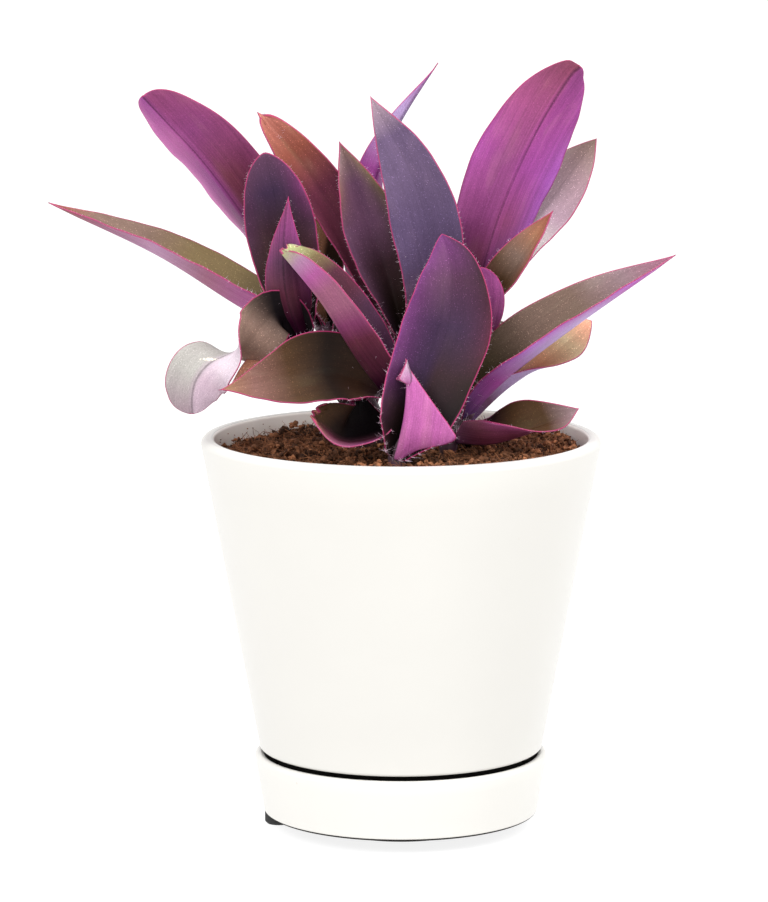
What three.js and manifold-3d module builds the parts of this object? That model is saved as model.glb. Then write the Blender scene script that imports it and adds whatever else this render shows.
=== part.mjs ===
// A purple tradescantia in a tapered white ceramic pot that stands in its own saucer.
// Millimetres, +Z up. The origin is on the pot's axis, on the surface that the saucer stands on,
// and the viewer of the plant's show side looks along +Y.
import * as THREE from "three";
import { mergeVertices } from "three/addons/utils/BufferGeometryUtils.js";
import Module from "manifold-3d";

// ---- Driving dimensions ----
const CLEARANCE = 0.3; // between separate pieces that rest on or in each other
const ROUND_SEGMENTS = 48; // facets round the pot, the saucer and the soil

const SAUCER = {
  standHeight: 4.5, // the foot disc and the pads lift the underside this far
  standRadius: 27,
  bottomRadius: 45,
  rimRadius: 47.8,
  rimHeight: 24.7,
  wall: 3.2,
  floor: 4,
};
const PAD = { radius: 4.5, edge: 0.8, reach: 40.2, bearings: [181, 100, 19] };
const POT = {
  footRadius: 40.5,
  footBore: 33,
  footRecess: 2.5,
  stepHeight: 26, // where the tapered body starts, over the narrower foot
  stepRadius: 46.4,
  rimRadius: 65,
  rimHeight: 128.8,
  wall: 4.3,
  floor: 5,
  drainRadius: 6,
  notchWidth: 8,
};
const SOIL = { height: 123.6, sideRise: 0.014, backRise: 0.01, roughness: 0.7 }; // not quite level
const STEM = { baseRadius: 3.6, tipRadius: 2.4, sides: 8, steps: 7 };
const BLADE = { thickness: 1.1, marginThickness: 0.7, steps: 12, halfSteps: 2, tipCrowding: 1.3 };

const potFootHeight = SAUCER.standHeight + SAUCER.floor + CLEARANCE;
const soilFloor = potFootHeight + POT.footRecess + POT.floor + CLEARANCE;

// ---- Materials ----
const glaze = new THREE.MeshStandardMaterial({ color: 0xf4f1e8, roughness: 0.35 });
const rubber = new THREE.MeshStandardMaterial({ color: 0x1b1a19, roughness: 0.8 });
const peat = new THREE.MeshStandardMaterial({ color: 0x4a2a1a, roughness: 1 });
const foliage = new THREE.MeshStandardMaterial({ color: 0x5f2f63, roughness: 0.5 });

// ---- The leafy stems ----
// A stem is a line of points up its middle. Each leaf gives the points of its midrib, root to tip,
// its width, and the way its upper side faces at even stations along it. fold is how far each half
// rises from flat at the midrib and curl how much further it turns by the margin, in degrees, at
// even stations. belly is where it is widest, neck its width at the root as a share of that, and
// point how sharply the tip narrows.
const UPRIGHT = { fold: [55, 18, 14, 12], curl: [40, 14, 8, 4], belly: 0.5, neck: 0.5, point: 0.95 };
const CHANNEL = { fold: [62, 48, 42, 36], curl: [10, 6, 4, 2], belly: 0.4, neck: 0.6, point: 1.15 };

const SHOOTS = {
  leafy_stem_front: {
    stem: [[-1, -30, 98], [-1, -30, 124], [-2, -24, 136], [-3, -17, 147]],
    leaves: [
      // the tall violet leaf in the middle, upper side to the front
      { ...UPRIGHT, midrib: [[-2.5, -31, 126.5], [2.5, -27, 137], [9.5, -23, 153], [15, -19, 169], [16, -16, 185], [13, -12, 196]],
        width: 30, faces: [[0.1, -1, 0.1], [-0.05, -1, 0.15]], fold: [40, 16, 14, 12], belly: 0.55, neck: 1, point: 0.85 },
      // the short pink leaf before it, folded, with its underside to the front
      { midrib: [[-2, -33, 126.5], [-0.5, -34, 132], [1.2, -33, 140], [2, -31, 149], [1.5, -28, 158]], width: 37,
        faces: [[0.95, 0.1, 0.1], [0.95, 0.25, 0.1], [0.9, 0.4, 0]], fold: [66, 58, 50, 40], curl: [8, 4, 0, 0],
        belly: 0.3, neck: 0.25, rise: 2.4, taper: 1, point: 1.5 },
      // the channelled leaf that points up to the left, with a blunt bruised tip
      { ...CHANNEL, midrib: [[-4, -16, 143], [-14, -20, 157], [-25, -22, 175], [-38, -20, 191]], width: 30,
        faces: [[0.8, -0.16, 0.57]], fold: [62, 52, 48, 42], belly: 0.42, point: 0.34 },
      // the broad olive leaf that lies out over the soil to the left
      { midrib: [[-4, -16, 144], [-17, -20, 151], [-27, -25, 153], [-39, -28, 151], [-58, -29, 148]], width: 27,
        faces: [[0.1, -0.8, 0.6], [-0.05, -0.9, 0.45], [-0.1, -0.85, 0.5]], fold: [45, 14, 10, 10],
        curl: [40, 30, 16, 6], belly: 0.4, neck: 0.6, point: 1.5 },
      // the low torn leaf against the soil
      { ...CHANNEL, midrib: [[-4.5, -21, 133.5], [-12, -24.5, 131], [-20, -29, 132], [-28, -32, 140]], width: 27,
        faces: [[0.1, -0.6, 0.78]], fold: [55, 46, 40, 36], belly: 0.5, neck: 1, point: 0.4, steps: 9 },
    ],
  },
  leafy_stem_left: {
    stem: [[-10, 6, 98], [-11, 6, 125], [-20, 0, 145], [-31, -5, 160]],
    leaves: [
      // the leaf that arches over, twists on edge and hangs at the far left
      { midrib: [[-31, -7, 158], [-36, -10, 168.5], [-41, -13, 170], [-46.5, -16, 164], [-53.5, -18, 158.5],
          [-61, -20, 155.5], [-65.5, -21, 150.5], [-67, -21, 144.5], [-67, -20, 139]],
        width: 21, faces: [[0.4, -0.85, 0.3], [0.2, -0.95, 0.2], [0, -1, 0.1], [0, -1, 0],
          [0.15, -0.7, -0.7], [0.3, 0.4, -0.85], [0.2, 0.97, -0.1], [0.1, 1, 0], [0, 1, 0.1]],
        fold: [40, 10, 6, 6, 4], curl: [30, 12, 6, 8, 4], belly: 0.75, neck: 0.5, point: 0.5, steps: 16 },
      // the narrow magenta leaf, keel to the front
      { ...UPRIGHT, midrib: [[-30, -9, 158], [-35, -13, 171], [-37, -15, 182], [-37, -15, 194], [-36, -12, 208]],
        width: 17, faces: [[0.1, 1, 0.1]], fold: [60, 26, 24, 24], belly: 0.38, neck: 0.7, point: 1.2 },
      // the dark rounded leaf behind it
      { ...UPRIGHT, midrib: [[-31, -3, 160], [-35, 1, 176], [-39, 2, 198], [-44, -1, 221]], width: 24,
        faces: [[0.1, -1, 0.1], [-0.1, -1, 0.15]], belly: 0.6, neck: 0.75, point: 0.6 },
      // the long straight leaf at the far left
      { ...CHANNEL, midrib: [[-31, -3, 159], [-54, 7, 171.5], [-80, 13, 187], [-115, 17, 203]], width: 25.5,
        faces: [[0.4, -0.22, 0.88]], fold: [60, 40, 34, 30], belly: 0.3, point: 1.15 },
      // the pale sliver under the hanging leaf
      { ...CHANNEL, midrib: [[-26, -7, 152], [-37, -11, 156], [-46, -12, 154], [-55, -13, 147]], width: 10,
        faces: [[0, -0.6, 0.8]], fold: [50, 20, 20, 20], steps: 8 },
    ],
  },
  leafy_stem_back_left: {
    stem: [[-6, 18, 98], [-7, 18, 125], [-15, 17, 145], [-26, 14, 163]],
    leaves: [
      // the big rounded leaf at the upper left, keel to the front
      { ...UPRIGHT, midrib: [[-27, 14, 163], [-45, 13, 191], [-62, 10, 215], [-75, 7, 230], [-83, 4, 239]], width: 33,
        faces: [[0.33, 0.91, 0.24]], fold: [55, 44, 38, 24], curl: [30, 8, 4, 4], belly: 0.42, point: 0.44 },
      // a small dark leaf seen through the gap
      { ...UPRIGHT, midrib: [[-23, 14, 160], [-26, 19, 176], [-24.5, 20, 191], [-21, 20, 206]], width: 15,
        faces: [[0.1, -1, 0.1]], steps: 8 },
      // out of sight behind, leaning away
      { ...UPRIGHT, midrib: [[-25, 15, 160], [-33, 30, 175], [-39, 42, 188], [-42, 52, 198]], width: 22,
        faces: [[0.3, -0.6, 0.75]], fold: [55, 26, 22, 20], steps: 8 },
      { ...CHANNEL, midrib: [[-10, 18, 134], [-20, 34, 147], [-28, 46, 150], [-34, 60, 145]], width: 24,
        faces: [[0.1, -0.1, 1]], fold: [60, 36, 28, 24], steps: 8 },
      { ...CHANNEL, midrib: [[-20, 17, 151], [-32, 36, 165], [-41, 51, 171], [-46, 62, 168]], width: 22,
        faces: [[0.2, -0.2, 1]], fold: [60, 36, 28, 24], steps: 8 },
    ],
  },
  leafy_stem_centre: {
    stem: [[3, 9, 98], [3, 9, 125], [3, 8, 142], [2, 5, 158]],
    leaves: [
      // the tall grey-violet leaf
      { ...UPRIGHT, midrib: [[4, 3, 157], [10, -3, 183], [4, -4, 212], [-10, 2, 239]], width: 24,
        faces: [[0, -1, 0.1], [-0.1, -1, 0.1]], belly: 0.46, point: 1.1 },
      // the olive-edged leaf on its left
      { ...UPRIGHT, midrib: [[2, 4, 157], [-4, 5, 179], [-12.5, 6, 204], [-20, 6, 224]], width: 22,
        faces: [[0.1, -1, 0.1]], fold: [55, 28, 24, 20], belly: 0.5, point: 1.15 },
      // the orange-tipped leaf behind that
      { ...UPRIGHT, midrib: [[1, 7, 155], [-8, 10, 172], [-23.5, 11, 203], [-45, 8, 232]], width: 18,
        faces: [[0.3, -0.9, 0.2]], fold: [60, 32, 28, 28], belly: 0.6, point: 0.5 },
      // the thin curving leaf at the top, turned on edge
      { ...CHANNEL, midrib: [[0, 8, 157], [-8, 18, 183], [-10, 20, 201], [-7, 21, 215], [0, 22, 230], [12, 25, 248]],
        width: 17, faces: [[0.3, 0.9, 0.1], [-0.3, 0.9, 0.2], [-0.7, 0.5, 0.4]], fold: [62, 35, 44, 50],
        belly: 0.35, point: 1.5 },
      // a thin pink leaf in the gap
      { ...UPRIGHT, midrib: [[0, 7, 155], [-9, 12, 170], [-14, 13.5, 180], [-19, 13.5, 189]], width: 11,
        faces: [[0.1, 1, 0.1]], steps: 8 },
      // out of sight behind, leaning away
      { ...UPRIGHT, midrib: [[2, 9, 152], [6, 24, 170], [9, 38, 183], [10, 50, 194]], width: 25,
        faces: [[0, -0.6, 0.8]], fold: [55, 26, 22, 20], steps: 8 },
      { ...CHANNEL, midrib: [[2, 9, 138], [8, 28, 150], [13, 44, 154], [18, 58, 150]], width: 24,
        faces: [[0, -0.1, 1]], fold: [60, 36, 28, 24], steps: 8 },
      { ...CHANNEL, midrib: [[3, 10, 146], [2, 30, 167], [0, 48, 180], [-2, 62, 183]], width: 24,
        faces: [[0, -0.3, 1]], fold: [60, 36, 28, 24], steps: 8 },
    ],
  },
  leafy_stem_right: {
    stem: [[14, 11, 98], [15, 11, 125], [19, 10, 145], [24, 7, 166]],
    leaves: [
      // the tallest leaf, bright magenta, keel to the front
      { ...UPRIGHT, midrib: [[22, 8, 162], [27.5, 8, 185], [34, 9, 205], [44, 10, 227], [54, 11, 245], [58, 11, 249.5]],
        width: 33, faces: [[-0.15, 0.98, 0.06]], fold: [55, 32, 28, 20], curl: [40, 8, 6, 4], belly: 0.54, neck: 0.5,
        point: 0.55 },
      // the pale leaf behind it
      { ...UPRIGHT, midrib: [[24, 9, 165], [38, 20, 190], [51, 25, 206], [64, 28, 223]], width: 23,
        faces: [[-0.3, -0.9, 0.3]], belly: 0.6, point: 1, steps: 10 },
      // the short olive leaf before it
      { ...CHANNEL, midrib: [[25, 5, 164], [33, 1, 178], [41, 1, 190], [49, 2, 202]], width: 16,
        faces: [[-0.5, -0.75, 0.4]], fold: [60, 36, 30, 26], steps: 10 },
      // the small rounded leaf beside the middle one
      { ...UPRIGHT, midrib: [[22, 4, 155], [26, -1, 165], [28, -2, 175], [27, -1, 184]], width: 17,
        faces: [[0.2, 1, 0]], belly: 0.6, point: 0.5, steps: 8 },
      // out of sight behind, leaning away
      { ...UPRIGHT, midrib: [[22, 9, 158], [31, 26, 180], [37, 37, 199], [40, 46, 214]], width: 24,
        faces: [[-0.2, -0.6, 0.75]], fold: [55, 26, 22, 20], steps: 8 },
      { ...CHANNEL, midrib: [[20, 9, 145], [32, 24, 156], [42, 36, 157], [50, 46, 151]], width: 22,
        faces: [[-0.2, -0.1, 1]], fold: [60, 36, 28, 24], steps: 8 },
      { ...CHANNEL, midrib: [[23, 10, 156], [30, 30, 172], [36, 48, 180], [39, 62, 181]], width: 20,
        faces: [[-0.1, -0.3, 1]], fold: [60, 36, 28, 24], steps: 8 },
    ],
  },
  leafy_stem_low_right: {
    stem: [[15, -5, 98], [15, -5, 124], [18, -4, 132], [22, -3, 138]],
    leaves: [
      // the long leaf that reaches out to the right
      { ...CHANNEL, midrib: [[21, -3, 134], [32, -5, 147], [54, -8, 165], [88, -9, 189]], width: 29,
        faces: [[-0.55, -0.39, 0.74]], fold: [62, 48, 44, 40], belly: 0.33, point: 1.15 },
      // the leaf under it, opening to the front towards its tip
      { midrib: [[21, -2, 132], [34, 3, 144], [49, 6, 154.5], [60.5, 9, 165]], width: 26,
        faces: [[-0.5, -0.2, 0.8], [-0.5, -0.4, 0.75], [-0.2, -0.9, 0.4]], fold: [60, 45, 20, 22],
        curl: [10, 8, 10, 0], belly: 0.62, neck: 0.6, point: 0.7 },
      // the low leaf along the rim
      { ...CHANNEL, midrib: [[18, -6, 127.5], [30, -13, 128.5], [44, -17, 134], [57, -18, 140.5]], width: 23,
        faces: [[-0.1, 0.3, 1], [-0.1, 0, 1], [-0.1, -0.5, 0.8], [0, -0.95, 0.3]], fold: [60, 55, 40, 15],
        belly: 0.5 },
    ],
  },
};

// ---- Helpers ----
const wasm = await Module();
wasm.setup();

// A closed geometry as a solid that can be joined and cut.
function solidOf(geometry) {
  const bare = geometry.index ? geometry.toNonIndexed() : geometry.clone();
  for (const name of Object.keys(bare.attributes)) if (name !== "position") bare.deleteAttribute(name);
  const merged = mergeVertices(bare, 1e-4);
  return new wasm.Manifold(
    new wasm.Mesh({
      numProp: 3,
      vertProperties: new Float32Array(merged.attributes.position.array),
      triVerts: new Uint32Array(merged.index.array),
    }),
  );
}

function geometryOf(solid) {
  const mesh = solid.getMesh();
  const positions = new Float32Array(mesh.numVert * 3);
  for (let i = 0; i < mesh.numVert; i++) {
    positions.set(mesh.vertProperties.subarray(i * mesh.numProp, i * mesh.numProp + 3), i * 3);
  }
  const geometry = new THREE.BufferGeometry();
  geometry.setAttribute("position", new THREE.BufferAttribute(positions, 3));
  geometry.setIndex(new THREE.BufferAttribute(new Uint32Array(mesh.triVerts), 1));
  return geometry;
}

// Joins solids into one body. A hollow that the joint seals is filled and a loose scrap is dropped.
function fuse(solids) {
  const joined = solids.reduce((all, next) => all.add(next));
  return joined.decompose().reduce((best, next) => (next.volume() > best.volume() ? next : best));
}

// Lathes a closed profile of [radius, height] points round +Z.
function turned(profile) {
  const points = profile.map(([radius, height]) => new THREE.Vector2(radius, height));
  return new THREE.LatheGeometry(points, ROUND_SEGMENTS).rotateX(Math.PI / 2);
}

// A quarter of a round from one angle to another, in degrees, as profile points.
function arc(radius, centreRadius, centreHeight, from, to, steps) {
  return Array.from({ length: steps + 1 }, (_, i) => {
    const angle = THREE.MathUtils.degToRad(from + ((to - from) * i) / steps);
    return [centreRadius + radius * Math.cos(angle), centreHeight + radius * Math.sin(angle)];
  });
}

// The value of an evenly spaced list at a share from 0 to 1.
function along(values, share) {
  const place = share * (values.length - 1);
  const start = Math.min(Math.floor(place), values.length - 2);
  if (values.length === 1) return values[0];
  return THREE.MathUtils.lerp(values[start], values[start + 1], place - start);
}

function curveThrough(points) {
  return new THREE.CatmullRomCurve3(points.map((p) => new THREE.Vector3(...p)), false, "catmullrom", 0.5);
}

// ---- Saucer, pads and pot ----
function makeSaucer() {
  const { standHeight, standRadius, bottomRadius, rimRadius, rimHeight, wall, floor } = SAUCER;
  const lip = wall / 2;
  const profile = [
    [0, 0],
    [standRadius, 0],
    [standRadius, standHeight],
    [bottomRadius - 1, standHeight],
    [bottomRadius, standHeight + 1],
    ...arc(lip, rimRadius - lip, rimHeight - lip, 0, 180, 6),
    [bottomRadius - wall + 0.8, standHeight + floor + 3],
    [bottomRadius - wall - 1.2, standHeight + floor],
    [0, standHeight + floor],
  ];
  return turned(profile);
}

function makePad() {
  const { radius, edge } = PAD;
  const top = SAUCER.standHeight - CLEARANCE;
  const profile = [
    [0, 0],
    [radius - edge, 0],
    [radius, edge],
    [radius, top],
    [0, top],
  ];
  const points = profile.map(([r, height]) => new THREE.Vector2(r, height));
  return new THREE.LatheGeometry(points, 20).rotateX(Math.PI / 2);
}

// The radius of the pot's inner wall at a height.
function potInside(height) {
  const outside = THREE.MathUtils.mapLinear(
    height, POT.stepHeight, POT.rimHeight, POT.stepRadius, POT.rimRadius,
  );
  return Math.min(outside - POT.wall, POT.footRadius - 1 + Math.max(0, height - POT.stepHeight));
}

function makePot() {
  const { footRadius, footBore, footRecess, stepHeight, stepRadius, rimRadius, rimHeight, wall } = POT;
  const floorTop = soilFloor - CLEARANCE;
  const recessTop = potFootHeight + footRecess;
  const outerLip = 2.2;
  const innerLip = 1;
  const profile = [
    [POT.drainRadius, recessTop],
    [footBore, recessTop],
    [footBore, potFootHeight],
    [footRadius, potFootHeight],
    [footRadius, stepHeight],
    [stepRadius - 1.2, stepHeight],
    [stepRadius, stepHeight + 1.2],
    ...arc(outerLip, rimRadius - outerLip, rimHeight - outerLip, 0, 90, 4),
    ...arc(innerLip, rimRadius - wall + innerLip, rimHeight - innerLip, 90, 180, 2),
    [potInside(stepHeight + 6), stepHeight + 6],
    [footRadius - wall, stepHeight],
    [footRadius - wall - 2, floorTop],
    [POT.drainRadius, floorTop],
  ];
  let pot = solidOf(turned([...profile, profile[0]]));
  // three notches let water out from under the foot ring
  for (const bearing of [30, 150, 270]) {
    const notch = new THREE.BoxGeometry(footRadius, POT.notchWidth, footRecess * 2);
    notch.translate(footRadius, 0, potFootHeight).rotateZ(THREE.MathUtils.degToRad(bearing));
    pot = pot.subtract(solidOf(notch));
  }
  return geometryOf(pot);
}

// ---- Soil ----
// The height of the soil's crumbly top, by a fixed formula.
function soilTop(x, y) {
  const crumbs = Math.sin(x * 0.61 + y * 0.23) * Math.cos(y * 0.57 - x * 0.31) + 0.6 * Math.sin(x * 1.3 - y * 1.7);
  return SOIL.height + SOIL.sideRise * x + SOIL.backRise * y + SOIL.roughness * crumbs;
}

function makeSoil(stems) {
  const wallGap = CLEARANCE + 0.1;
  const rim = potInside(SOIL.height - 4) - wallGap;
  const topRings = 9;
  const profile = [
    [0, soilFloor - POT.floor],
    [POT.drainRadius - wallGap, soilFloor - POT.floor],
    [POT.drainRadius - wallGap, soilFloor],
    [POT.footRadius - POT.wall - 2 - wallGap, soilFloor],
    [POT.footRadius - POT.wall - wallGap, POT.stepHeight],
    [potInside(POT.stepHeight + 6) - wallGap, POT.stepHeight + 6],
    ...Array.from({ length: topRings + 1 }, (_, i) => [rim * (1 - i / topRings), SOIL.height]),
  ];
  const geometry = turned(profile);
  const position = geometry.getAttribute("position");
  for (let i = 0; i < position.count; i++) {
    if (position.getZ(i) < SOIL.height - 0.01) continue;
    position.setZ(i, soilTop(position.getX(i), position.getY(i)));
  }
  return geometryOf(stems.reduce((soil, stem) => soil.subtract(stem), solidOf(geometry)));
}

// ---- Stems and leaves ----
function makeStem(points, extra, sides) {
  const curve = curveThrough(points);
  const positions = [];
  const up = new THREE.Vector3(0, 1, 0);
  for (let i = 0; i <= STEM.steps; i++) {
    const share = i / STEM.steps;
    const centre = curve.getPointAt(share);
    const tangent = curve.getTangentAt(share);
    const side = new THREE.Vector3().crossVectors(up, tangent).normalize();
    const other = new THREE.Vector3().crossVectors(tangent, side);
    const radius = THREE.MathUtils.lerp(STEM.baseRadius, STEM.tipRadius, share) + extra;
    for (let j = 0; j < sides; j++) {
      const angle = (2 * Math.PI * j) / sides;
      const p = centre.clone().addScaledVector(side, radius * Math.cos(angle));
      positions.push(p.addScaledVector(other, radius * Math.sin(angle)));
    }
  }
  return loft(positions, sides);
}

// Skins rings of points that follow each other, and closes both ends with a fan.
function loft(points, ringSize) {
  const rings = points.length / ringSize;
  const index = [];
  for (let i = 0; i < rings - 1; i++) {
    for (let j = 0; j < ringSize; j++) {
      const a = i * ringSize + j;
      const b = i * ringSize + ((j + 1) % ringSize);
      index.push(a, b, b + ringSize, a, b + ringSize, a + ringSize);
    }
  }
  for (let j = 1; j < ringSize - 1; j++) {
    index.push(0, j + 1, j);
    const last = (rings - 1) * ringSize;
    index.push(last, last + j, last + j + 1);
  }
  const geometry = new THREE.BufferGeometry().setFromPoints(points);
  geometry.setIndex(index);
  return geometry;
}

// Half the blade's width at a share of its length.
function halfWidth(leaf, share) {
  if (share < leaf.belly) {
    const swell = Math.sin((Math.PI / 2) * (share / leaf.belly)) ** (leaf.rise ?? 1);
    const root = Math.min(1, 0.4 + 6 * share); // it closes round the stem
    return root * (leaf.width / 2) * (leaf.neck + (1 - leaf.neck) * swell);
  }
  const past = (share - leaf.belly) / (1 - leaf.belly);
  return (leaf.width / 2) * Math.max(0.02, 1 - past ** (leaf.taper ?? 2)) ** leaf.point;
}

// The blade's cross-section at a share of its length: for each point from one margin to the
// other, how far out and how far up it lies, and the slope of the surface there.
function section(leaf, share) {
  const fold = THREE.MathUtils.degToRad(along(leaf.fold, share));
  const curl = THREE.MathUtils.degToRad(along(leaf.curl, share));
  const strip = halfWidth(leaf, share) / BLADE.halfSteps;
  const half = [{ out: 0, up: 0, slope: 0, reach: 0 }];
  for (let k = 1; k <= BLADE.halfSteps; k++) {
    const before = half[k - 1];
    const slope = fold + curl * ((k - 0.5) / BLADE.halfSteps);
    half.push({
      out: before.out + strip * Math.cos(slope),
      up: before.up + strip * Math.sin(slope),
      slope: fold + curl * (k / BLADE.halfSteps),
      reach: k / BLADE.halfSteps,
    });
  }
  const mirrored = half.slice(1).reverse().map((p) => ({ ...p, out: -p.out, slope: -p.slope }));
  return [...mirrored, ...half];
}

function makeBlade(leaf) {
  const curve = curveThrough(leaf.midrib);
  const across = 2 * BLADE.halfSteps + 1;
  const upper = [];
  const under = [];
  const steps = leaf.steps ?? BLADE.steps;
  for (let i = 0; i <= steps; i++) {
    const share = 1 - (1 - i / steps) ** BLADE.tipCrowding;
    const centre = curve.getPointAt(share);
    const tangent = curve.getTangentAt(share);
    const face = new THREE.Vector3(...[0, 1, 2].map((axis) => along(leaf.faces.map((f) => f[axis]), share)));
    face.addScaledVector(tangent, -face.dot(tangent)).normalize();
    const side = new THREE.Vector3().crossVectors(face, tangent);
    for (const { out, up, slope, reach } of section(leaf, share)) {
      const half = THREE.MathUtils.lerp(BLADE.thickness, BLADE.marginThickness, reach) / 2;
      const middle = centre.clone().addScaledVector(side, out).addScaledVector(face, up);
      const normal = face.clone().multiplyScalar(Math.cos(slope)).addScaledVector(side, -Math.sin(slope));
      upper.push(middle.clone().addScaledVector(normal, half));
      under.push(middle.clone().addScaledVector(normal, -half));
    }
  }
  return bladeSkin(upper, under, across);
}

// Two sheets split the same way, joined round their edge.
function bladeSkin(upper, under, across) {
  const rows = upper.length / across;
  const offset = upper.length;
  const index = [];
  for (let i = 0; i < rows - 1; i++) {
    for (let j = 0; j < across - 1; j++) {
      const a = i * across + j;
      const [b, c, d] = [a + 1, a + across + 1, a + across];
      index.push(a, c, b, a, d, c);
      index.push(offset + a, offset + b, offset + c, offset + a, offset + c, offset + d);
    }
  }
  const rim = [];
  for (let j = 0; j < across; j++) rim.push(j);
  for (let i = 1; i < rows; i++) rim.push(i * across + across - 1);
  for (let j = across - 2; j >= 0; j--) rim.push((rows - 1) * across + j);
  for (let i = rows - 2; i > 0; i--) rim.push(i * across);
  rim.forEach((a, k) => {
    const b = rim[(k + 1) % rim.length];
    index.push(a, b, offset + b, a, offset + b, offset + a);
  });
  const geometry = new THREE.BufferGeometry().setFromPoints([...upper, ...under]);
  geometry.setIndex(index);
  return geometry;
}

// ---- Assembly ----
const plant = new THREE.Group();

function add(name, geometry, material) {
  const mesh = new THREE.Mesh(geometry, material);
  mesh.name = name;
  plant.add(mesh);
  return mesh;
}

add("saucer", makeSaucer(), glaze);
PAD.bearings.forEach((bearing, i) => {
  const angle = THREE.MathUtils.degToRad(bearing);
  const pad = add(`rubber_pad_${i + 1}`, makePad(), rubber);
  pad.position.set(PAD.reach * Math.cos(angle), PAD.reach * Math.sin(angle), 0);
});
add("pot", makePot(), glaze);

const stems = Object.values(SHOOTS).map((shoot) => solidOf(makeStem(shoot.stem, CLEARANCE, STEM.sides)));
add("soil", makeSoil(stems), peat);

for (const [name, shoot] of Object.entries(SHOOTS)) {
  const stem = solidOf(makeStem(shoot.stem, 0, STEM.sides));
  const blades = shoot.leaves.map((leaf) => solidOf(makeBlade(leaf)));
  add(name, geometryOf(fuse([stem, ...blades])), foliage);
}

export default plant;
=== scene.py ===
"""A purple tradescantia in a tapered white pot on its own saucer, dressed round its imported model,
whose three rubber pads under the saucer stay as they are.

Blender units are metres. Lengths in the leaf lists, and values named _MM, are millimetres.
The pot's axis is the Z axis, the saucer stands on z = 0, and the show side faces -Y.
"""

import math
import random

import bpy
import numpy as np
from mathutils import Matrix, Vector, noise


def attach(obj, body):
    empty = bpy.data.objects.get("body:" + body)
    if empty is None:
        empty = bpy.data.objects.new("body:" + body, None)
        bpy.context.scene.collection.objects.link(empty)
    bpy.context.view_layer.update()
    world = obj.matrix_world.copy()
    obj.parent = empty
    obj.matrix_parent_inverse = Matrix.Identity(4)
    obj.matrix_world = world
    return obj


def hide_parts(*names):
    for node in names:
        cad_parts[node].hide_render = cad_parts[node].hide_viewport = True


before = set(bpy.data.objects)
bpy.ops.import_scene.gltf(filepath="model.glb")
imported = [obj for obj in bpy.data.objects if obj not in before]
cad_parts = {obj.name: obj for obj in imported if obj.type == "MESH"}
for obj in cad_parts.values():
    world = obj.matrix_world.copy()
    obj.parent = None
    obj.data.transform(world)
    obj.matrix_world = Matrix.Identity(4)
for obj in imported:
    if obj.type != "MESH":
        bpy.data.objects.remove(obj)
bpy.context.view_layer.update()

bl_info = {
    "name": "Potted tradescantia",
    "version": (1, 0, 0),
    "blender": (4, 5, 0),
    "location": "View3D > Sidebar > Potted plant",
    "description": "Makes a purple-leaved plant with its pot, saucer and soil",
    "category": "Object",
}

MM = 0.001
FULL_TURN = 2 * math.pi

# ---- Leaf colours, as they look in bright light. The two near-black ones, first in the list, are painted shade, put on roots and on halves of leaves that lie in shade ----
PALETTE = dict(
    night="0c070a", soot_brown="261c18", bark="3e2b22", umber="57402f", dark_olive="554a39", moss="6e624c",
    olive="877659", taupe="8a746a", rose_brown="936f68", warm_grey="a78e94", tan="af816b", russet="9d6358",
    orange="c7887d", apricot="e4ac96", green_tan="b6a387", dark_plum="3a262c", plum="57394f",
    dark_wine="371129", wine="5d3342", berry="724050", aubergine="413048", ink_violet="5c4870",
    violet="7b487b", heather="665673", mauve="6f5e79", grey_mauve="876886", dusk="6b4c63", magenta="8a4f7a",
    raspberry="95567a", bright_magenta="9f5990", orchid="a75e9e", bright_violet="b878c8", rose="b47a93",
    pink="cb7db5", pale_pink="cda1c2", lilac="b9a1ac", pale_violet="bea8d1", silver="c7c3be",
    pale_green="cbcf9c", pearl="e3cbd9", bright_pink="ffa6e6", blush_white="fff0fa",
)

# ---- The leafy stems ----
# fold is how far each half rises from flat at the midrib and curl how much further it turns by the
# margin, in degrees, at even stations from root to tip. belly is where a leaf is widest, neck its
# width at the root as a share of that, and point how sharply the tip narrows. rise and taper bend
# its outline before and past the belly, and ragged tears its tip. scar is the place, in X and Z,
# and the length of a pale mark.
UPRIGHT = dict(fold=[55, 18, 14, 12], curl=[40, 14, 8, 4], belly=0.5, neck=0.5, point=0.95)
CHANNEL = dict(fold=[62, 48, 42, 36], curl=[10, 6, 4, 2], belly=0.4, neck=0.6, point=1.15)
BEHIND = {**UPRIGHT, "fold": [55, 26, 22, 20]}
BEHIND_LOW = {**CHANNEL, "fold": [60, 36, 28, 24]}
BEHIND_OLIVE = {**BEHIND_LOW, "upper": "night dark_olive moss taupe"}


def leaf(kind, width, midrib, *faces, **changes):
    """A leaf of a kind, with its width, its midrib's points from root to tip, the way that its upper
    side faces at even stations along it, and what else is its own.

    upper and under are the colours of its two sides from root to tip; their near-black colours at the
    roots and on shaded halves are painted shade. Where a slash parts two lists, the first is for the half
    that face x midrib points to. With three or four lists the outer two colour the margins. tone makes the
    upper side and the underside lighter or darker: painted light, for how brightly each side is lit.
    """
    usual = {
        "upper": "night dark_plum ink_violet mauve grey_mauve", "under": "dark_plum wine magenta raspberry",
        "tone": (1, 1), "rise": 1, "taper": 2, "ragged": 0, "scar": None,
    }
    return {**usual, **kind, "width": width, "midrib": midrib, "faces": faces, **changes}


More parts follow.
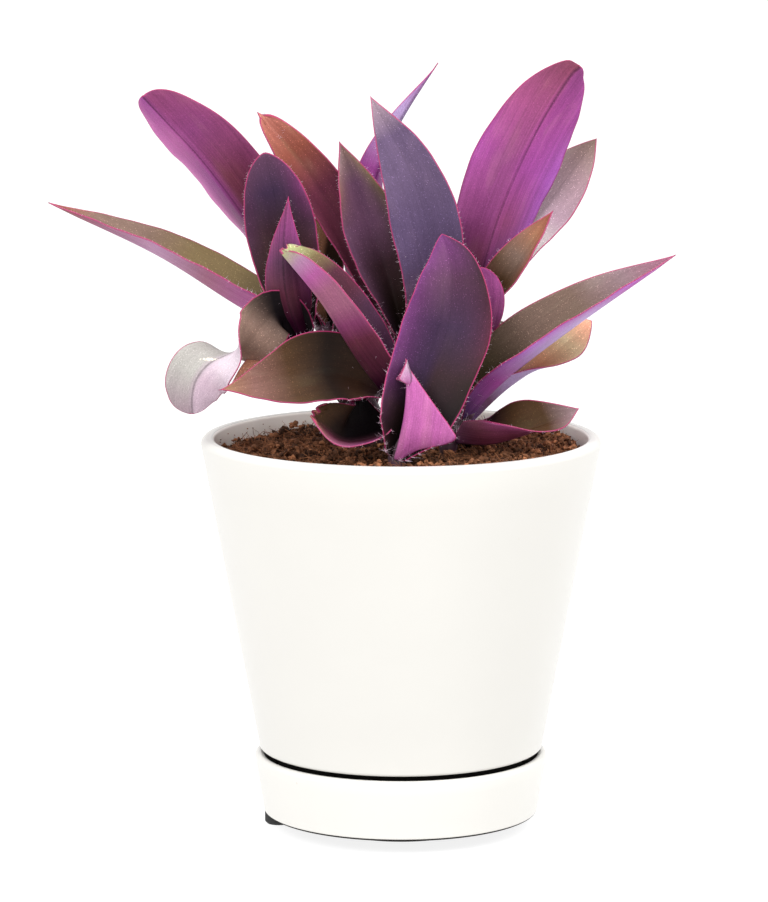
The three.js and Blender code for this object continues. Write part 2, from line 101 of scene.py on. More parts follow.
FRONT_LEAVES = [
    # the tall violet leaf in the middle, upper side to the front; its near-black root and darker right half
    # are painted shade
    leaf(UPRIGHT, 30, [[-2.5, -31, 126.5], [2.5, -27, 137], [9.5, -23, 153], [15, -19, 169], [16, -16, 185],
         [13, -12, 196]], [0.1, -1, 0.1], [-0.05, -1, 0.15], fold=[40, 16, 14, 12], belly=0.55, neck=1,
         point=0.85, tone=[1.02, 1],
         upper="bark plum violet violet violet violet / night soot_brown aubergine aubergine dusk violet / "
               "night night dark_plum aubergine plum violet / night night soot_brown wine dark_plum plum"),
    # the short pink leaf before it, folded, with its underside to the front
    leaf(UPRIGHT, 37, [[-2, -33, 126.5], [-0.5, -34, 132], [1.2, -33, 140], [2, -31, 149], [1.5, -28, 158]],
         [0.95, 0.1, 0.1], [0.95, 0.25, 0.1], [0.9, 0.4, 0], fold=[66, 58, 50, 40], curl=[8, 4, 0, 0],
         belly=0.34, neck=0.22, rise=4.2, taper=1, point=1.5, upper="dark_plum plum magenta rose",
         under="pink pink pink pink pearl"),
    # its small twisted tip
    leaf(UPRIGHT, 10, [[3.2, -31, 149.5], [3, -31, 152.5], [1.7, -30, 158]], [-1, -0.15, 0], fold=[62, 62],
         curl=[0, 0], belly=0.38, neck=0.1, rise=1.5, taper=1, point=1.2, upper="magenta rose",
         under="pink pale_pink pearl"),
    # the channelled leaf that points up to the left, with a blunt bruised tip
    leaf(CHANNEL, 30, [[-4, -16, 143], [-14, -20, 157], [-25, -22, 175], [-38, -20, 191]],
         [0.8, -0.16, 0.57], fold=[62, 52, 48, 42], belly=0.42, point=0.34, ragged=1.6,
         upper="dark_plum plum plum plum plum wine wine olive pale_green",
         under="dark_wine dark_wine wine wine berry raspberry rose rose pink pale_pink pale_green"),
    # the broad olive leaf that lies out over the soil to the left; the dark browns near its root are
    # painted shade
    leaf(CHANNEL, 27, [[-4, -16, 144], [-17, -20, 151], [-27, -25, 153], [-39, -28, 151], [-58, -29, 148]],
         [0.1, -0.8, 0.6], [-0.05, -0.9, 0.45], [-0.1, -0.85, 0.5], fold=[45, 14, 10, 10],
         curl=[40, 30, 16, 6], point=1.5, tone=[0.9, 1],
         upper="dark_plum bark soot_brown umber rose_brown tan"),
    # the low torn leaf against the soil; the near-black of its root and inner halves is painted shade
    leaf(UPRIGHT, 27, [[-4.5, -21, 133.5], [-12, -24.5, 131], [-20, -29, 132], [-28, -32, 140]],
         [0.1, -0.6, 0.78], fold=[55, 46, 40, 36], curl=[10, 6, 4, 2], neck=1, point=0.4, ragged=2.2,
         upper="wine raspberry magenta rose orange / night wine wine berry umber / "
               "night night night soot_brown umber / night night soot_brown bark umber",
         under="dark_wine wine raspberry raspberry orange"),
]
LEFT_LEAVES = [
    # the leaf that arches over, twists on edge and hangs at the far left; its black root is painted shade,
    # and the silver and near-white of its twisted underside are painted highlight
    leaf(UPRIGHT, 21, [[-31, -7, 158], [-36, -10, 168.5], [-41, -13, 170], [-46.5, -16, 164],
         [-53.5, -18, 158.5], [-61, -20, 155.5], [-65.5, -21, 150.5], [-67, -21, 144.5], [-67, -20, 139]],
         [0.4, -0.85, 0.3], [0.2, -0.95, 0.2], [0, -1, 0.1], [0, -1, 0], [0.15, -0.7, -0.7],
         [0.3, 0.4, -0.85], [0.2, 0.97, -0.1], [0.1, 1, 0], [0, 1, 0.1], fold=[40, 10, 6, 6, 4],
         curl=[30, 12, 6, 8, 4], belly=0.75, point=0.5, scar=[-61.5, 156.3, 5.4], tone=[1.8, 0.9],
         upper="night night night taupe taupe rose_brown rose magenta",
         under="dark_plum magenta silver silver silver lilac / "
               "dark_plum magenta pearl blush_white pearl pearl"),
    # the narrow magenta leaf, keel to the front
    leaf(UPRIGHT, 17, [[-30, -9, 158], [-35, -13, 171], [-37, -15, 182], [-37, -15, 194], [-36, -12, 208]],
         [0.1, 1, 0.1], fold=[60, 26, 24, 24], belly=0.36, neck=0.7, point=1.4,
         under="dark_wine wine magenta violet bright_magenta raspberry / "
               "dark_wine dark_wine wine plum magenta raspberry / "
               "dark_wine wine berry magenta raspberry raspberry"),
    # the dark rounded leaf behind it; its near-black lower part is painted shade
    leaf(UPRIGHT, 24, [[-31, -3, 160], [-35, 1, 176], [-39, 2, 198], [-44, -1, 221]], [0.1, -1, 0.1],
         [-0.1, -1, 0.15], belly=0.6, neck=0.75, point=0.6,
         upper="night night dark_plum plum plum dusk / night soot_brown bark dark_plum aubergine dusk / "
               "night soot_brown wine plum magenta dusk"),
    # the long straight leaf at the far left
    leaf(CHANNEL, 25.5, [[-31, -3, 159], [-54, 7, 171.5], [-80, 13, 187], [-115, 17, 203]],
         [0.4, -0.22, 0.88], fold=[60, 40, 34, 30], belly=0.3, tone=[1.15, 1],
         upper="bark dark_olive olive olive taupe taupe russet",
         under="pink pink rose pale_pink rose russet"),
    # the pale sliver under the hanging leaf
    leaf(CHANNEL, 10, [[-26, -7, 152], [-37, -11, 156], [-46, -12, 154], [-55, -13, 147]], [0, -0.6, 0.8],
         fold=[50, 20, 20, 20], tone=[1.4, 1], upper="bark tan apricot apricot",
         under="bark orange apricot"),
]
BACK_LEFT_LEAVES = [
    # the big rounded leaf at the upper left, keel to the front; the bright pink strip along one margin is
    # partly its pink edge and partly painted highlight
    leaf(UPRIGHT, 33, [[-27, 14, 163], [-45, 13, 191], [-62, 10, 215], [-75, 7, 230], [-83, 4, 239]],
         [0.33, 0.91, 0.24], fold=[55, 44, 38, 24], curl=[30, 8, 4, 4], belly=0.42, point=0.44,
         under="dark_plum wine berry raspberry raspberry raspberry / "
               "dark_plum dark_plum wine berry magenta raspberry / "
               "dark_plum plum magenta orchid pink orchid / "
               "berry bright_pink bright_pink bright_pink bright_pink pink"),
    # a small dark leaf seen through the gap; its near-black half is painted shade
    leaf(UPRIGHT, 15, [[-23, 14, 160], [-26, 19, 176], [-24.5, 20, 191], [-21, 20, 206]], [0.1, -1, 0.1],
         upper="bark tan tan tan / night soot_brown bark bark"),
    # out of sight behind, leaning away
    leaf(BEHIND, 22, [[-25, 15, 160], [-33, 30, 175], [-39, 42, 188], [-42, 52, 198]], [0.3, -0.6, 0.75]),
    leaf(BEHIND_OLIVE, 24, [[-10, 18, 134], [-20, 34, 147], [-28, 46, 150], [-34, 60, 145]],
         [0.1, -0.1, 1]),
    leaf(BEHIND_LOW, 22, [[-20, 17, 151], [-32, 36, 165], [-41, 51, 171], [-46, 62, 168]], [0.2, -0.2, 1]),
]
CENTRE_LEAVES = [
    # the tall grey-violet leaf
    leaf(UPRIGHT, 24, [[4, 3, 157], [10, -3, 183], [4, -4, 212], [-10, 2, 239]], [0, -1, 0.1],
         [-0.1, -1, 0.1], belly=0.46, point=1.1,
         upper="violet grey_mauve heather heather mauve mauve lilac"),
    # the olive-edged leaf on its left
    leaf(UPRIGHT, 22, [[2, 4, 157], [-4, 5, 179], [-12.5, 6, 204], [-20, 6, 224]], [0.1, -1, 0.1],
         fold=[55, 28, 24, 20], point=1.15,
         upper="night plum dusk dusk rose_brown lilac / night soot_brown dark_plum dusk dusk taupe / "
               "night soot_brown bark dark_olive olive rose_brown"),
    # the orange-tipped leaf behind that
    leaf(UPRIGHT, 18, [[1, 7, 155], [-8, 10, 172], [-23.5, 11, 203], [-45, 8, 232]], [0.3, -0.9, 0.2],
         fold=[60, 32, 28, 28], belly=0.6, point=0.5, ragged=1.2,
         upper="night wine berry berry berry russet orange"),
    # the dry sliver at its tip
    leaf(UPRIGHT, 3.6, [[-39.5, 8.6, 224.5], [-43.2, 8, 229.5], [-46.5, 7.6, 233.4]], [0.3, -0.9, 0.2],
         fold=[10, 10], curl=[4, 0], belly=0.3, neck=0.9, point=1, upper="orange orange apricot",
         under="orange apricot"),
    # the thin curving leaf at the top, turned on edge
    leaf(CHANNEL, 17, [[0, 8, 157], [-8, 18, 183], [-10, 20, 201], [-7, 21, 215], [0, 22, 230],
         [12, 25, 248]], [0.3, 0.9, 0.1], [-0.3, 0.9, 0.2], [-0.7, 0.5, 0.4], fold=[62, 35, 44, 50],
         belly=0.35, point=1.5, upper="magenta orchid orchid orchid pearl pale_violet",
         under="magenta bright_magenta orchid orchid pale_violet orchid"),
    # a thin pink leaf in the gap
    leaf(UPRIGHT, 11, [[0, 7, 155], [-9, 12, 170], [-14, 13.5, 180], [-19, 13.5, 189]], [0.1, 1, 0.1],
         under="magenta rose pale_pink pearl"),
    # out of sight behind, leaning away
    leaf(BEHIND, 25, [[2, 9, 152], [6, 24, 170], [9, 38, 183], [10, 50, 194]], [0, -0.6, 0.8]),
    leaf(BEHIND_OLIVE, 24, [[2, 9, 138], [8, 28, 150], [13, 44, 154], [18, 58, 150]], [0, -0.1, 1]),
    leaf(BEHIND_LOW, 24, [[3, 10, 146], [2, 30, 167], [0, 48, 180], [-2, 62, 183]], [0, -0.3, 1]),
]
RIGHT_LEAVES = [
    # the tallest leaf, bright magenta, keel to the front; its brighter violet side is painted light
    leaf(UPRIGHT, 33, [[22, 8, 162], [27.5, 8, 185], [34, 9, 205], [44, 10, 227], [54, 11, 243.5],
         [58, 11, 247.8]], [-0.15, 0.98, 0.06], fold=[55, 32, 28, 20], curl=[40, 8, 6, 4], belly=0.54,
         point=0.55, scar=[66.5, 241.5, 1.6], tone=[1, 1.22],
         under="plum bright_violet bright_violet bright_violet orchid bright_magenta / "
               "plum violet raspberry orchid bright_magenta magenta / "
               "wine berry magenta magenta raspberry berry / berry orchid pink orchid raspberry berry"),
    # the pale leaf behind it
    leaf(UPRIGHT, 23, [[24, 9, 165], [38, 20, 190], [51, 25, 206], [64, 28, 223]], [-0.3, -0.9, 0.3],
         belly=0.6, point=1, tone=[1.15, 1], upper="lilac silver silver lilac warm_grey taupe"),
    # the short olive leaf before it
    leaf(CHANNEL, 16, [[25, 5, 164], [33, 1, 178], [41, 1, 190], [49, 2, 202]], [-0.5, -0.75, 0.4],
         fold=[60, 36, 30, 26],
         upper="plum berry umber rose_brown russet / bark umber umber taupe tan russet / "
               "bark umber umber russet russet rose_brown",
         under="dark_wine magenta orchid magenta"),
    # the small rounded leaf beside the middle one
    leaf(UPRIGHT, 15.5, [[22, 4, 155], [24, -4, 165], [25.8, -9, 175], [25.3, -9.5, 185]], [0.2, 1, 0],
         belly=0.6, point=0.5, tone=[1, 1.65], under="berry magenta magenta magenta"),
    # out of sight behind, leaning away
    leaf(BEHIND, 24, [[22, 9, 158], [31, 26, 180], [37, 37, 199], [40, 46, 214]], [-0.2, -0.6, 0.75]),
    leaf(BEHIND_OLIVE, 22, [[20, 9, 145], [32, 24, 156], [42, 36, 157], [50, 46, 151]], [-0.2, -0.1, 1]),
    leaf(BEHIND_LOW, 20, [[23, 10, 156], [30, 30, 172], [36, 48, 180], [39, 62, 181]], [-0.1, -0.3, 1]),
]
LOW_RIGHT_LEAVES = [
    # the long leaf that reaches out to the right; the pale violet on its underside is partly painted
    # highlight
    leaf(CHANNEL, 29, [[21, -3, 134], [32, -5, 147], [54, -8, 165], [88, -9, 189]], [-0.53, -0.48, 0.7],
         fold=[62, 48, 44, 40], belly=0.33, tone=[0.95, 1.5],
         upper="bark dark_olive taupe taupe warm_grey rose",
         under="ink_violet bright_magenta pale_violet pale_violet pink bright_magenta / "
               "ink_violet orchid pale_violet pale_violet orchid orchid / "
               "ink_violet violet bright_violet orchid bright_violet orchid"),
    # the leaf under it, opening to the front towards its tip
    leaf(CHANNEL, 26, [[21, -2, 132], [34, 3, 144], [49, 6, 154.5], [62, 9, 165.3]], [-0.5, -0.2, 0.8],
         [-0.5, -0.4, 0.75], [-0.2, -0.9, 0.4], fold=[60, 45, 20, 22], curl=[10, 8, 10, 0], belly=0.62,
         point=0.9, tone=[1.75, 1.9], upper="dusk dusk rose_brown tan green_tan apricot",
         under="ink_violet dusk pale_violet pale_violet rose pale_pink"),
    # the low leaf along the rim
    leaf(CHANNEL, 23, [[18, -6, 127.5], [30, -13, 128.5], [44, -17, 134], [57, -18, 140.5]], [-0.1, 0.3, 1],
         [-0.1, 0, 1], [-0.1, -0.5, 0.8], [0, -0.95, 0.3], fold=[60, 55, 40, 15], belly=0.5, tone=[1, 2.3],
         upper="dark_plum dark_plum umber umber warm_grey",
         under="plum rose pink pink pale_pink / plum berry berry magenta pale_pink / "
               "plum rose pink pink pale_pink"),
]
# each node's stem, from its foot in the soil to its top, and its leaves
SHOOTS = {
    "leafy_stem_front": ([[-1, -30, 98], [-1, -30, 124], [-2, -24, 136], [-3, -17, 147]], FRONT_LEAVES),
    "leafy_stem_left": ([[-10, 6, 98], [-11, 6, 125], [-20, 0, 145], [-31, -5, 160]], LEFT_LEAVES),
    "leafy_stem_back_left": (
        [[-6, 18, 98], [-7, 18, 125], [-15, 17, 145], [-26, 14, 163]], BACK_LEFT_LEAVES),
    "leafy_stem_centre": ([[3, 9, 98], [3, 9, 125], [3, 8, 142], [2, 5, 158]], CENTRE_LEAVES),
    "leafy_stem_right": ([[14, 11, 98], [15, 11, 125], [19, 10, 145], [24, 7, 166]], RIGHT_LEAVES),
    "leafy_stem_low_right": ([[15, -5, 98], [15, -5, 124], [18, -4, 132], [22, -3, 138]], LOW_RIGHT_LEAVES),
}


# ---- Sizes and colours that a user may change ----
def length(name, description, millimetres):
    return bpy.props.FloatProperty(
        name=name, description=description, default=millimetres * MM, min=0, unit="LENGTH", precision=4
    )


def number(name, description, default, **limits):
    return bpy.props.FloatProperty(name=name, description=description, default=default, **limits)


def count(name, description, default, most):
    return bpy.props.IntProperty(name=name, description=description, default=default, min=0, max=most)


def linear(hex_colour):
    """The linear red, green, blue and alpha of a screen colour."""
    channels = [int(hex_colour[i : i + 2], 16) / 255 for i in (0, 2, 4)]
    return (*[c / 12.92 if c <= 0.04045 else ((c + 0.055) / 1.055) ** 2.4 for c in channels], 1.0)


def colour(name, description, hex_colour):
    return bpy.props.FloatVectorProperty(
        name=name, description=description, default=linear(hex_colour), size=4, min=0, max=1,
        subtype="COLOR",
    )


class SaucerSizes(bpy.types.PropertyGroup):
    stand_height: length("Stand height", "How far the foot disc lifts the underside", 4.5)
    stand_radius: length("Stand radius", "Radius of the foot disc", 27)
    bottom_radius: length("Bottom radius", "Outside radius at the underside", 45)
    rim_radius: length("Rim radius", "Outside radius at the rim", 47.8)
    rim_height: length("Rim height", "Top of the rim above the ground", 24.7)
    wall: length("Wall", "Thickness of the wall", 3.2)
    floor: length("Floor", "Thickness of the floor", 4)


class PotSizes(bpy.types.PropertyGroup):
    foot_height: length("Foot height", "Underside of the foot above the ground", 8.8)
    foot_radius: length("Foot radius", "Outside radius of the foot", 40.5)
    foot_bore: length("Foot bore", "Inside radius of the foot ring", 33)
    foot_recess: length("Foot recess", "Depth of the hollow inside the foot ring", 2.5)
    step_height: length("Step height", "Where the tapered body starts, over the foot", 26)
    step_radius: length("Step radius", "Outside radius at the bottom of the body", 46.4)
    rim_radius: length("Rim radius", "Outside radius at the rim", 65)
    rim_height: length("Rim height", "Top of the rim above the ground", 128.8)
    wall: length("Wall", "Thickness of the wall", 4.3)
    floor: length("Floor", "Thickness of the floor", 5)
    drain_radius: length("Drain radius", "Radius of the hole in the floor", 6)
    notch_width: length("Notch width", "Width of each notch in the foot ring", 8)


class SoilSizes(bpy.types.PropertyGroup):
    height: length("Height", "Height of the soil's top at the axis", 123.6)
    side_rise: number("Side rise", "How much higher it lies for each metre to the right", 0.014)
    back_rise: number("Back rise", "How much higher it lies for each metre towards the back", 0.01)
    crumb_count: count("Crumbs", "How many crumbs lie on it", 9000, 9500)
    fibre_count: count("Fibres", "How many fibres lie on it", 3000, 3400)


class LeafSizes(bpy.types.PropertyGroup):
    thickness: length("Thickness", "Thickness of a blade at its midrib", 0.9)
    margin_share: number(
        "Margin share", "Thickness at the margin, as a share of the midrib's", 0.4, min=0.1, max=1,
        subtype="FACTOR",
    )
    margin_wave: length("Margin wave", "How far a margin waves out of the blade", 0.22)
    stem_base: length("Stem base", "Radius of a stem at the bottom", 3.6)
    stem_tip: length("Stem tip", "Radius of a stem at the top", 2.4)
    hair_length: length("Hair length", "Length of the longest hairs", 4.2)
    hair_radius: length("Hair radius", "Radius of a hair at its root", 0.045)


class Finishes(bpy.types.PropertyGroup):
    glaze: colour("Glaze", "Warm white glaze of the pot", "c7c5c0")
    # the saucer's glaze is painted a little lighter than the pot's: painted light, for the shade that falls
    # on it under the pot
    saucer_glaze: colour("Saucer glaze", "Glaze of the saucer, a little lighter", "cfcdc8")
    # the pot's inside is painted paler than its outside: painted light that lifts the shade the plant casts
    # into it
    inner_glaze: colour("Inner glaze", "Paler glaze of the pot's inside", "f6f1e8")
    # near-black of the pot's foot, partly unglazed clay and partly painted shade; also painted as shade
    # under the saucer
    foot_clay_and_shade: colour("Dark foot", "Unglazed foot of the pot", "1c1917")
    soil_dark: colour("Dark soil", "Damp soil between the crumbs", "2c180d")
    soil_light: colour("Light soil", "Dry crumbs and fibres", "a36c4a")
    margin: colour("Leaf margin", "Thin bright edge of each leaf", "a62f62")
    hair: colour("Hairs", "Fine hairs of the leaves", "ecd8e6")
    sheath: colour("Stem sheath", "Stems near the soil", "4a2a3c")


class StageSettings(bpy.types.PropertyGroup):
    floor_colour: colour("Floor", "Plain pale floor", "8c8c8c")
    surround: number("Surround", "Strength of the white surroundings", 1.03, min=0)
    key_power: number("Key lamp", "Power of the soft lamp at the front left", 12, min=0, unit="POWER")
    fill_power: number("Fill lamp", "Power of the soft lamp at the right", 9, min=0, unit="POWER")
    top_power: number("Top lamp", "Power of the soft lamp overhead", 6, min=0, unit="POWER")
    camera_place: bpy.props.FloatVectorProperty(
        name="Camera place", description="Where the camera stands", default=(0, -1.448, 0.356),
        subtype="TRANSLATION", unit="LENGTH",
    )
    camera_turn: bpy.props.FloatVectorProperty(
        name="Camera turn", description="How the camera is turned", subtype="EULER",
        default=(math.radians(80.889), 0, math.radians(0.219)),
    )
    camera_lens: number("Lens", "Focal length in millimetres, for a frame 36 mm high", 180.12, min=1)


class PlantSettings(bpy.types.PropertyGroup):
    saucer: bpy.props.PointerProperty(type=SaucerSizes, name="Saucer", description="Sizes of the saucer")
    pot: bpy.props.PointerProperty(type=PotSizes, name="Pot", description="Sizes of the pot")
    soil: bpy.props.PointerProperty(type=SoilSizes, name="Soil", description="Sizes of the soil")
    leaf: bpy.props.PointerProperty(type=LeafSizes, name="Leaves", description="Sizes of the leaves")
    finish: bpy.props.PointerProperty(type=Finishes, name="Finishes", description="Colours")
    stage: bpy.props.PointerProperty(type=StageSettings, name="Stage", description="Light and camera")


def settings():
    return bpy.context.scene.potted_plant


# ---- Working with objects ----
def clear_selection():
    if bpy.context.object and bpy.context.object.mode != "OBJECT":
        bpy.ops.object.mode_set(mode="OBJECT")
    bpy.ops.object.select_all(action="DESELECT")


def pick(piece, *others):
    clear_selection()
    for each in (piece, *others):
        each.select_set(True)
    bpy.context.view_layer.objects.active = piece


def named(piece, name):
    piece.name = name
    piece.data.name = name
    return piece


def started(add_primitive, **values):
    """Add a primitive with nothing else selected."""
    clear_selection()
    add_primitive(**values)
    return bpy.context.object


def on_whole_mesh(piece, *steps):
    """Take steps in edit mode, each on the whole mesh. A step is an operator and its values."""
    pick(piece)
    bpy.ops.object.mode_set(mode="EDIT")
    for operator, values in steps:
        bpy.ops.mesh.select_all(action="SELECT")
        operator(**values)
    bpy.ops.object.mode_set(mode="OBJECT")


def tidy_mesh(piece):
    """Close the seams, drop loose bits and point the faces outwards."""
    on_whole_mesh(
        piece, (bpy.ops.mesh.remove_doubles, {"threshold": 1e-6}), (bpy.ops.mesh.delete_loose, {}),
        (bpy.ops.mesh.normals_make_consistent, {"inside": False}),
    )


def apply_modifier(piece, kind, **values):
    pick(piece)
    modifier = piece.modifiers.new(kind.title(), kind)
    for key, value in values.items():
        setattr(modifier, key, value)
    bpy.ops.object.modifier_apply(modifier=modifier.name)


def smooth_shade(piece, degrees=35):
    pick(piece)
    bpy.ops.object.shade_smooth_by_angle(angle=math.radians(degrees))


def coat(piece, *finishes):
    """Give a piece its materials, in the order of their places."""
    piece.data.materials.clear()
    for finish in finishes:
        piece.data.materials.append(material_named(finish))


def give(piece, slot, *nodes):
    """Put a finished piece on the plant's one body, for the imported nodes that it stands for."""
    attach(piece, "root")
    if nodes:
        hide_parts(*nodes)


# ---- The materials ----
PAINT_DEPTH = 0.58  # how much light a leaf gives back, against how it looks in bright light
LEAF_SATURATION = 1.15
FLOOR_GLOW = 0.85  # keeps the paper white where the saucer shades it


class Paintwork:
    """A new material, and the tools that paint it."""

    def __init__(self, name, **shader_values):
        self.material = bpy.data.materials.new(name)
        self.material.use_nodes = True
        self.tree = self.material.node_tree
        self.shader = self.tree.nodes["Principled BSDF"]
        for socket, value in shader_values.items():
            self.shader.inputs[socket.replace("_", " ").title().replace("Ior", "IOR")].default_value = value

    def add(self, kind, inputs, **values):
        """Add a node; each input is a value, or a socket to link from."""
        made = self.tree.nodes.new(kind)
        for key, value in values.items():
            setattr(made, key, value)
        for key, value in inputs.items():
            if isinstance(value, bpy.types.NodeSocket):
                self.tree.links.new(value, made.inputs[key])
            else:
                made.inputs[key].default_value = value
        return made

    def place(self):
        return self.add("ShaderNodeTexCoord", {}).outputs["Object"]

    def kept(self, name, output="Fac"):
        """Read what a mesh keeps on its points."""
        return self.add("ShaderNodeAttribute", {}, attribute_name=name).outputs[output]

    def sums(self, operation, *values):
        return self.add("ShaderNodeMath", dict(enumerate(values)), operation=operation).outputs[0]

    def times(self, first, second):
        return self.sums("MULTIPLY", first, second)

    def scaled(self, value, factor, start):
        return self.sums("MULTIPLY_ADD", value, factor, start)

    def swing(self, pattern, factor, start):
        """Add a pattern about its middle, so that it raises as much as it lowers."""
        return self.scaled(self.sums("SUBTRACT", pattern, 0.5), factor, start)

    def grain(self, vector, scale, detail, seed=0.0, rough=0.55, distortion=0.0):
        """A noise pattern from about 0 to 1."""
        inputs = {
            "Vector": vector, "Scale": scale, "Detail": detail, "Roughness": rough, "W": seed,
            "Distortion": distortion,
        }
        return self.add("ShaderNodeTexNoise", inputs, noise_dimensions="4D").outputs["Fac"]

    def stretch(self, vector, *scale):
        return self.add("ShaderNodeMapping", {"Vector": vector, "Scale": scale}).outputs["Vector"]

    def dots(self, vector, scale, size, share):
        """Scattered spots: how far each fades out, and which of them show."""
        cells = self.add("ShaderNodeTexVoronoi", {"Vector": vector, "Scale": scale})
        return self.times(
            self.spread(cells.outputs["Distance"], *size, 1, 0), self.spread(cells.outputs["Color"], *share)
        )

    def spread(self, value, low, high, to_low=0.0, to_high=1.0):
        """Read a value between two limits as a share from to_low to to_high, held at both ends."""
        inputs = {"Value": value, "From Min": low, "From Max": high, "To Min": to_low, "To Max": to_high}
        return self.add("ShaderNodeMapRange", inputs, interpolation_type="SMOOTHSTEP").outputs["Result"]

    def mixed(self, share, first, second):
        """Mix two colours; the sockets of the Mix node are found by their place."""
        return self.add("ShaderNodeMix", {0: share, 6: first, 7: second}, data_type="RGBA").outputs[2]

    def toned(self, paint, **changes):
        """Change a colour's value, saturation or hue."""
        inputs = {"Color": paint, **{key.title(): value for key, value in changes.items()}}
        return self.add("ShaderNodeHueSaturation", inputs).outputs["Color"]

    def finished(self, paint, rough, height=None, depth=0, strength=1):
        """Give the shader its colour, its roughness and, with a height, its uneven skin."""
        self.tree.links.new(paint, self.shader.inputs["Base Color"])
        self.tree.links.new(rough, self.shader.inputs["Roughness"])
        if height:
            bump = self.add("ShaderNodeBump", {"Height": height, "Distance": depth, "Strength": strength})
            self.tree.links.new(bump.outputs["Normal"], self.shader.inputs["Normal"])
        return self.material


def glaze_material(name, paint):
    """Warm white glaze: faint mottling, pin specks and a slightly uneven skin."""
    work = Paintwork(name, ior=1.5, coat_weight=0.25, coat_roughness=0.12)
    place = work.place()
    base = work.toned(paint, value=work.scaled(work.grain(place, 26, 4), 0.05, 0.975))
    specks = work.dots(place, 210, (0.05, 0.09), (0.86, 0.88))
    base = work.mixed(work.times(specks, 0.35), base, linear("b9ab98"))
    rough = work.scaled(work.grain(place, 60, 3, 4.0), 0.14, 0.3)
    wave = work.grain(work.stretch(place, 1, 1, 2.5), 22, 2, 9.0)
    return work.finished(base, rough, work.scaled(work.grain(place, 900, 2), 0.05, wave), 0.0004, 0.5)


def grained_material(name, paint, cloud, grit=None, along=1, patches=None, tone=None, rough=(0.2, 0.4),
                     bump=(), **shader_values):
    """One paint with a grain, and maybe patches of another.

    cloud is the scale, detail and seed of the patches, and grit those of the grain where it isn't the
    same pattern, stretched along the upright. patches is the second paint, where it starts and is full,
    and the most of it. tone and rough are how far the pattern changes them, and where they start.
    """
    work = Paintwork(name, **shader_values)
    place = work.place()
    cloud = work.grain(place, *cloud)
    grit = work.grain(work.stretch(place, 1, 1, along), *grit) if grit else cloud
    if patches:
        second, low, high, most = patches
        paint = work.mixed(work.spread(cloud, low, high, 0, most), paint, linear(second))
    if tone:
        paint = work.toned(paint, value=work.scaled(grit, *tone))
    return work.finished(paint, work.scaled(cloud, *rough), grit if bump else None, *bump)


def soil_material(name, crumb_tint):
    """Coir soil: reddish brown, matt and crumbly. Crumbs and fibres each carry their own tint."""
    finish = settings().finish
    work = Paintwork(name, specular_ior_level=0.2)
    place = work.place()
    coarse = work.grain(place, 240, 4)
    fine = work.grain(place, 1500, 3, 2.0)
    if crumb_tint:
        share = work.scaled(fine, 0.35, work.sums("SUBTRACT", work.kept("tint"), 0.17))
    else:
        share = work.times(work.times(coarse, fine), 0.9)
    base = work.mixed(share, finish.soil_dark, finish.soil_light)
    base = work.mixed(work.spread(coarse, 0.55, 0.75, 0, 0.35), base, linear("4c2616"))
    return work.finished(base, work.scaled(coarse, 0.2, 0.75), fine, 0.0004)


def leaf_material(name, paint_name, streaks, midrib_shade_depth, painted_glint, roughness):
    """One side of the leaves: its own paint, streaked along the veins and finely grained, darkened
    along the midrib as painted shade, dotted with painted glints, and with a bright margin. The paint and
    the place on the blade are kept on the blade's points."""
    work = Paintwork(name, specular_ior_level=0.1, sheen_weight=0.01, sheen_roughness=0.4)
    paint, seed = work.kept(paint_name, "Color"), work.kept("blade_seed")
    split = work.add("ShaderNodeSeparateXYZ", {0: work.kept("blade_place", "Vector")})
    across, length_on, margin = split.outputs
    flat = work.add("ShaderNodeCombineXYZ", {"X": across, "Y": length_on}).outputs["Vector"]
    veins = work.grain(work.stretch(flat, 3.2, 0.03, 1), 1, 3, seed)
    broad = work.grain(work.stretch(flat, 0.55, 0.012, 1), 1, 2, seed)
    cloud = work.grain(work.stretch(flat, 0.2, 0.06, 1), 1, 3, seed, distortion=0.4)
    skin = work.grain(work.stretch(flat, 3.6, 2.2, 1), 1, 2, seed, rough=0.75)

    brightness = work.add("ShaderNodeRGBToBW", {"Color": paint}).outputs["Val"]
    faint = work.spread(brightness, 0.2, 0.45, 1, 0.3)  # pale leaves show their veins less
    streak = work.swing(broad, 0.6 * streaks + 0.1, work.swing(veins, streaks, 0))
    value = work.swing(cloud, 0.5, work.scaled(streak, faint, 1))
    # the middle of the blade, along the midrib's crease, is darkened as painted shade
    keel = work.spread(work.sums("ABSOLUTE", work.scaled(broad, 0.5, across)), 0.05, 0.55, 1, 0)
    value = work.swing(skin, 0.9, work.scaled(keel, -midrib_shade_depth, value))
    # pale dots over the skin: painted glints
    value = work.scaled(work.dots(flat, 2.1, (0.1, 0.34), (0.5, 0.9)), painted_glint, value)
    base = work.toned(paint, value=work.times(value, PAINT_DEPTH), saturation=LEAF_SATURATION)
    dull = work.toned(base, saturation=0.85, hue=0.535)
    base = work.mixed(work.spread(cloud, 0.48, 0.72, 0, 0.42), base, dull)
    scar = work.spread(work.scaled(skin, 0.9, work.kept("blade_scar")), 0.95, 1.3)
    base = work.mixed(scar, base, linear("e8dcc8"))
    edge = work.spread(work.scaled(veins, -0.1, margin), 0.05, 0.36, 0.75, 0)
    base = work.mixed(edge, base, settings().finish.margin)
    height = work.scaled(veins, 0.7, work.times(skin, 0.5))
    return work.finished(base, work.scaled(cloud, 0.2, roughness), height, 0.00016, 0.7)


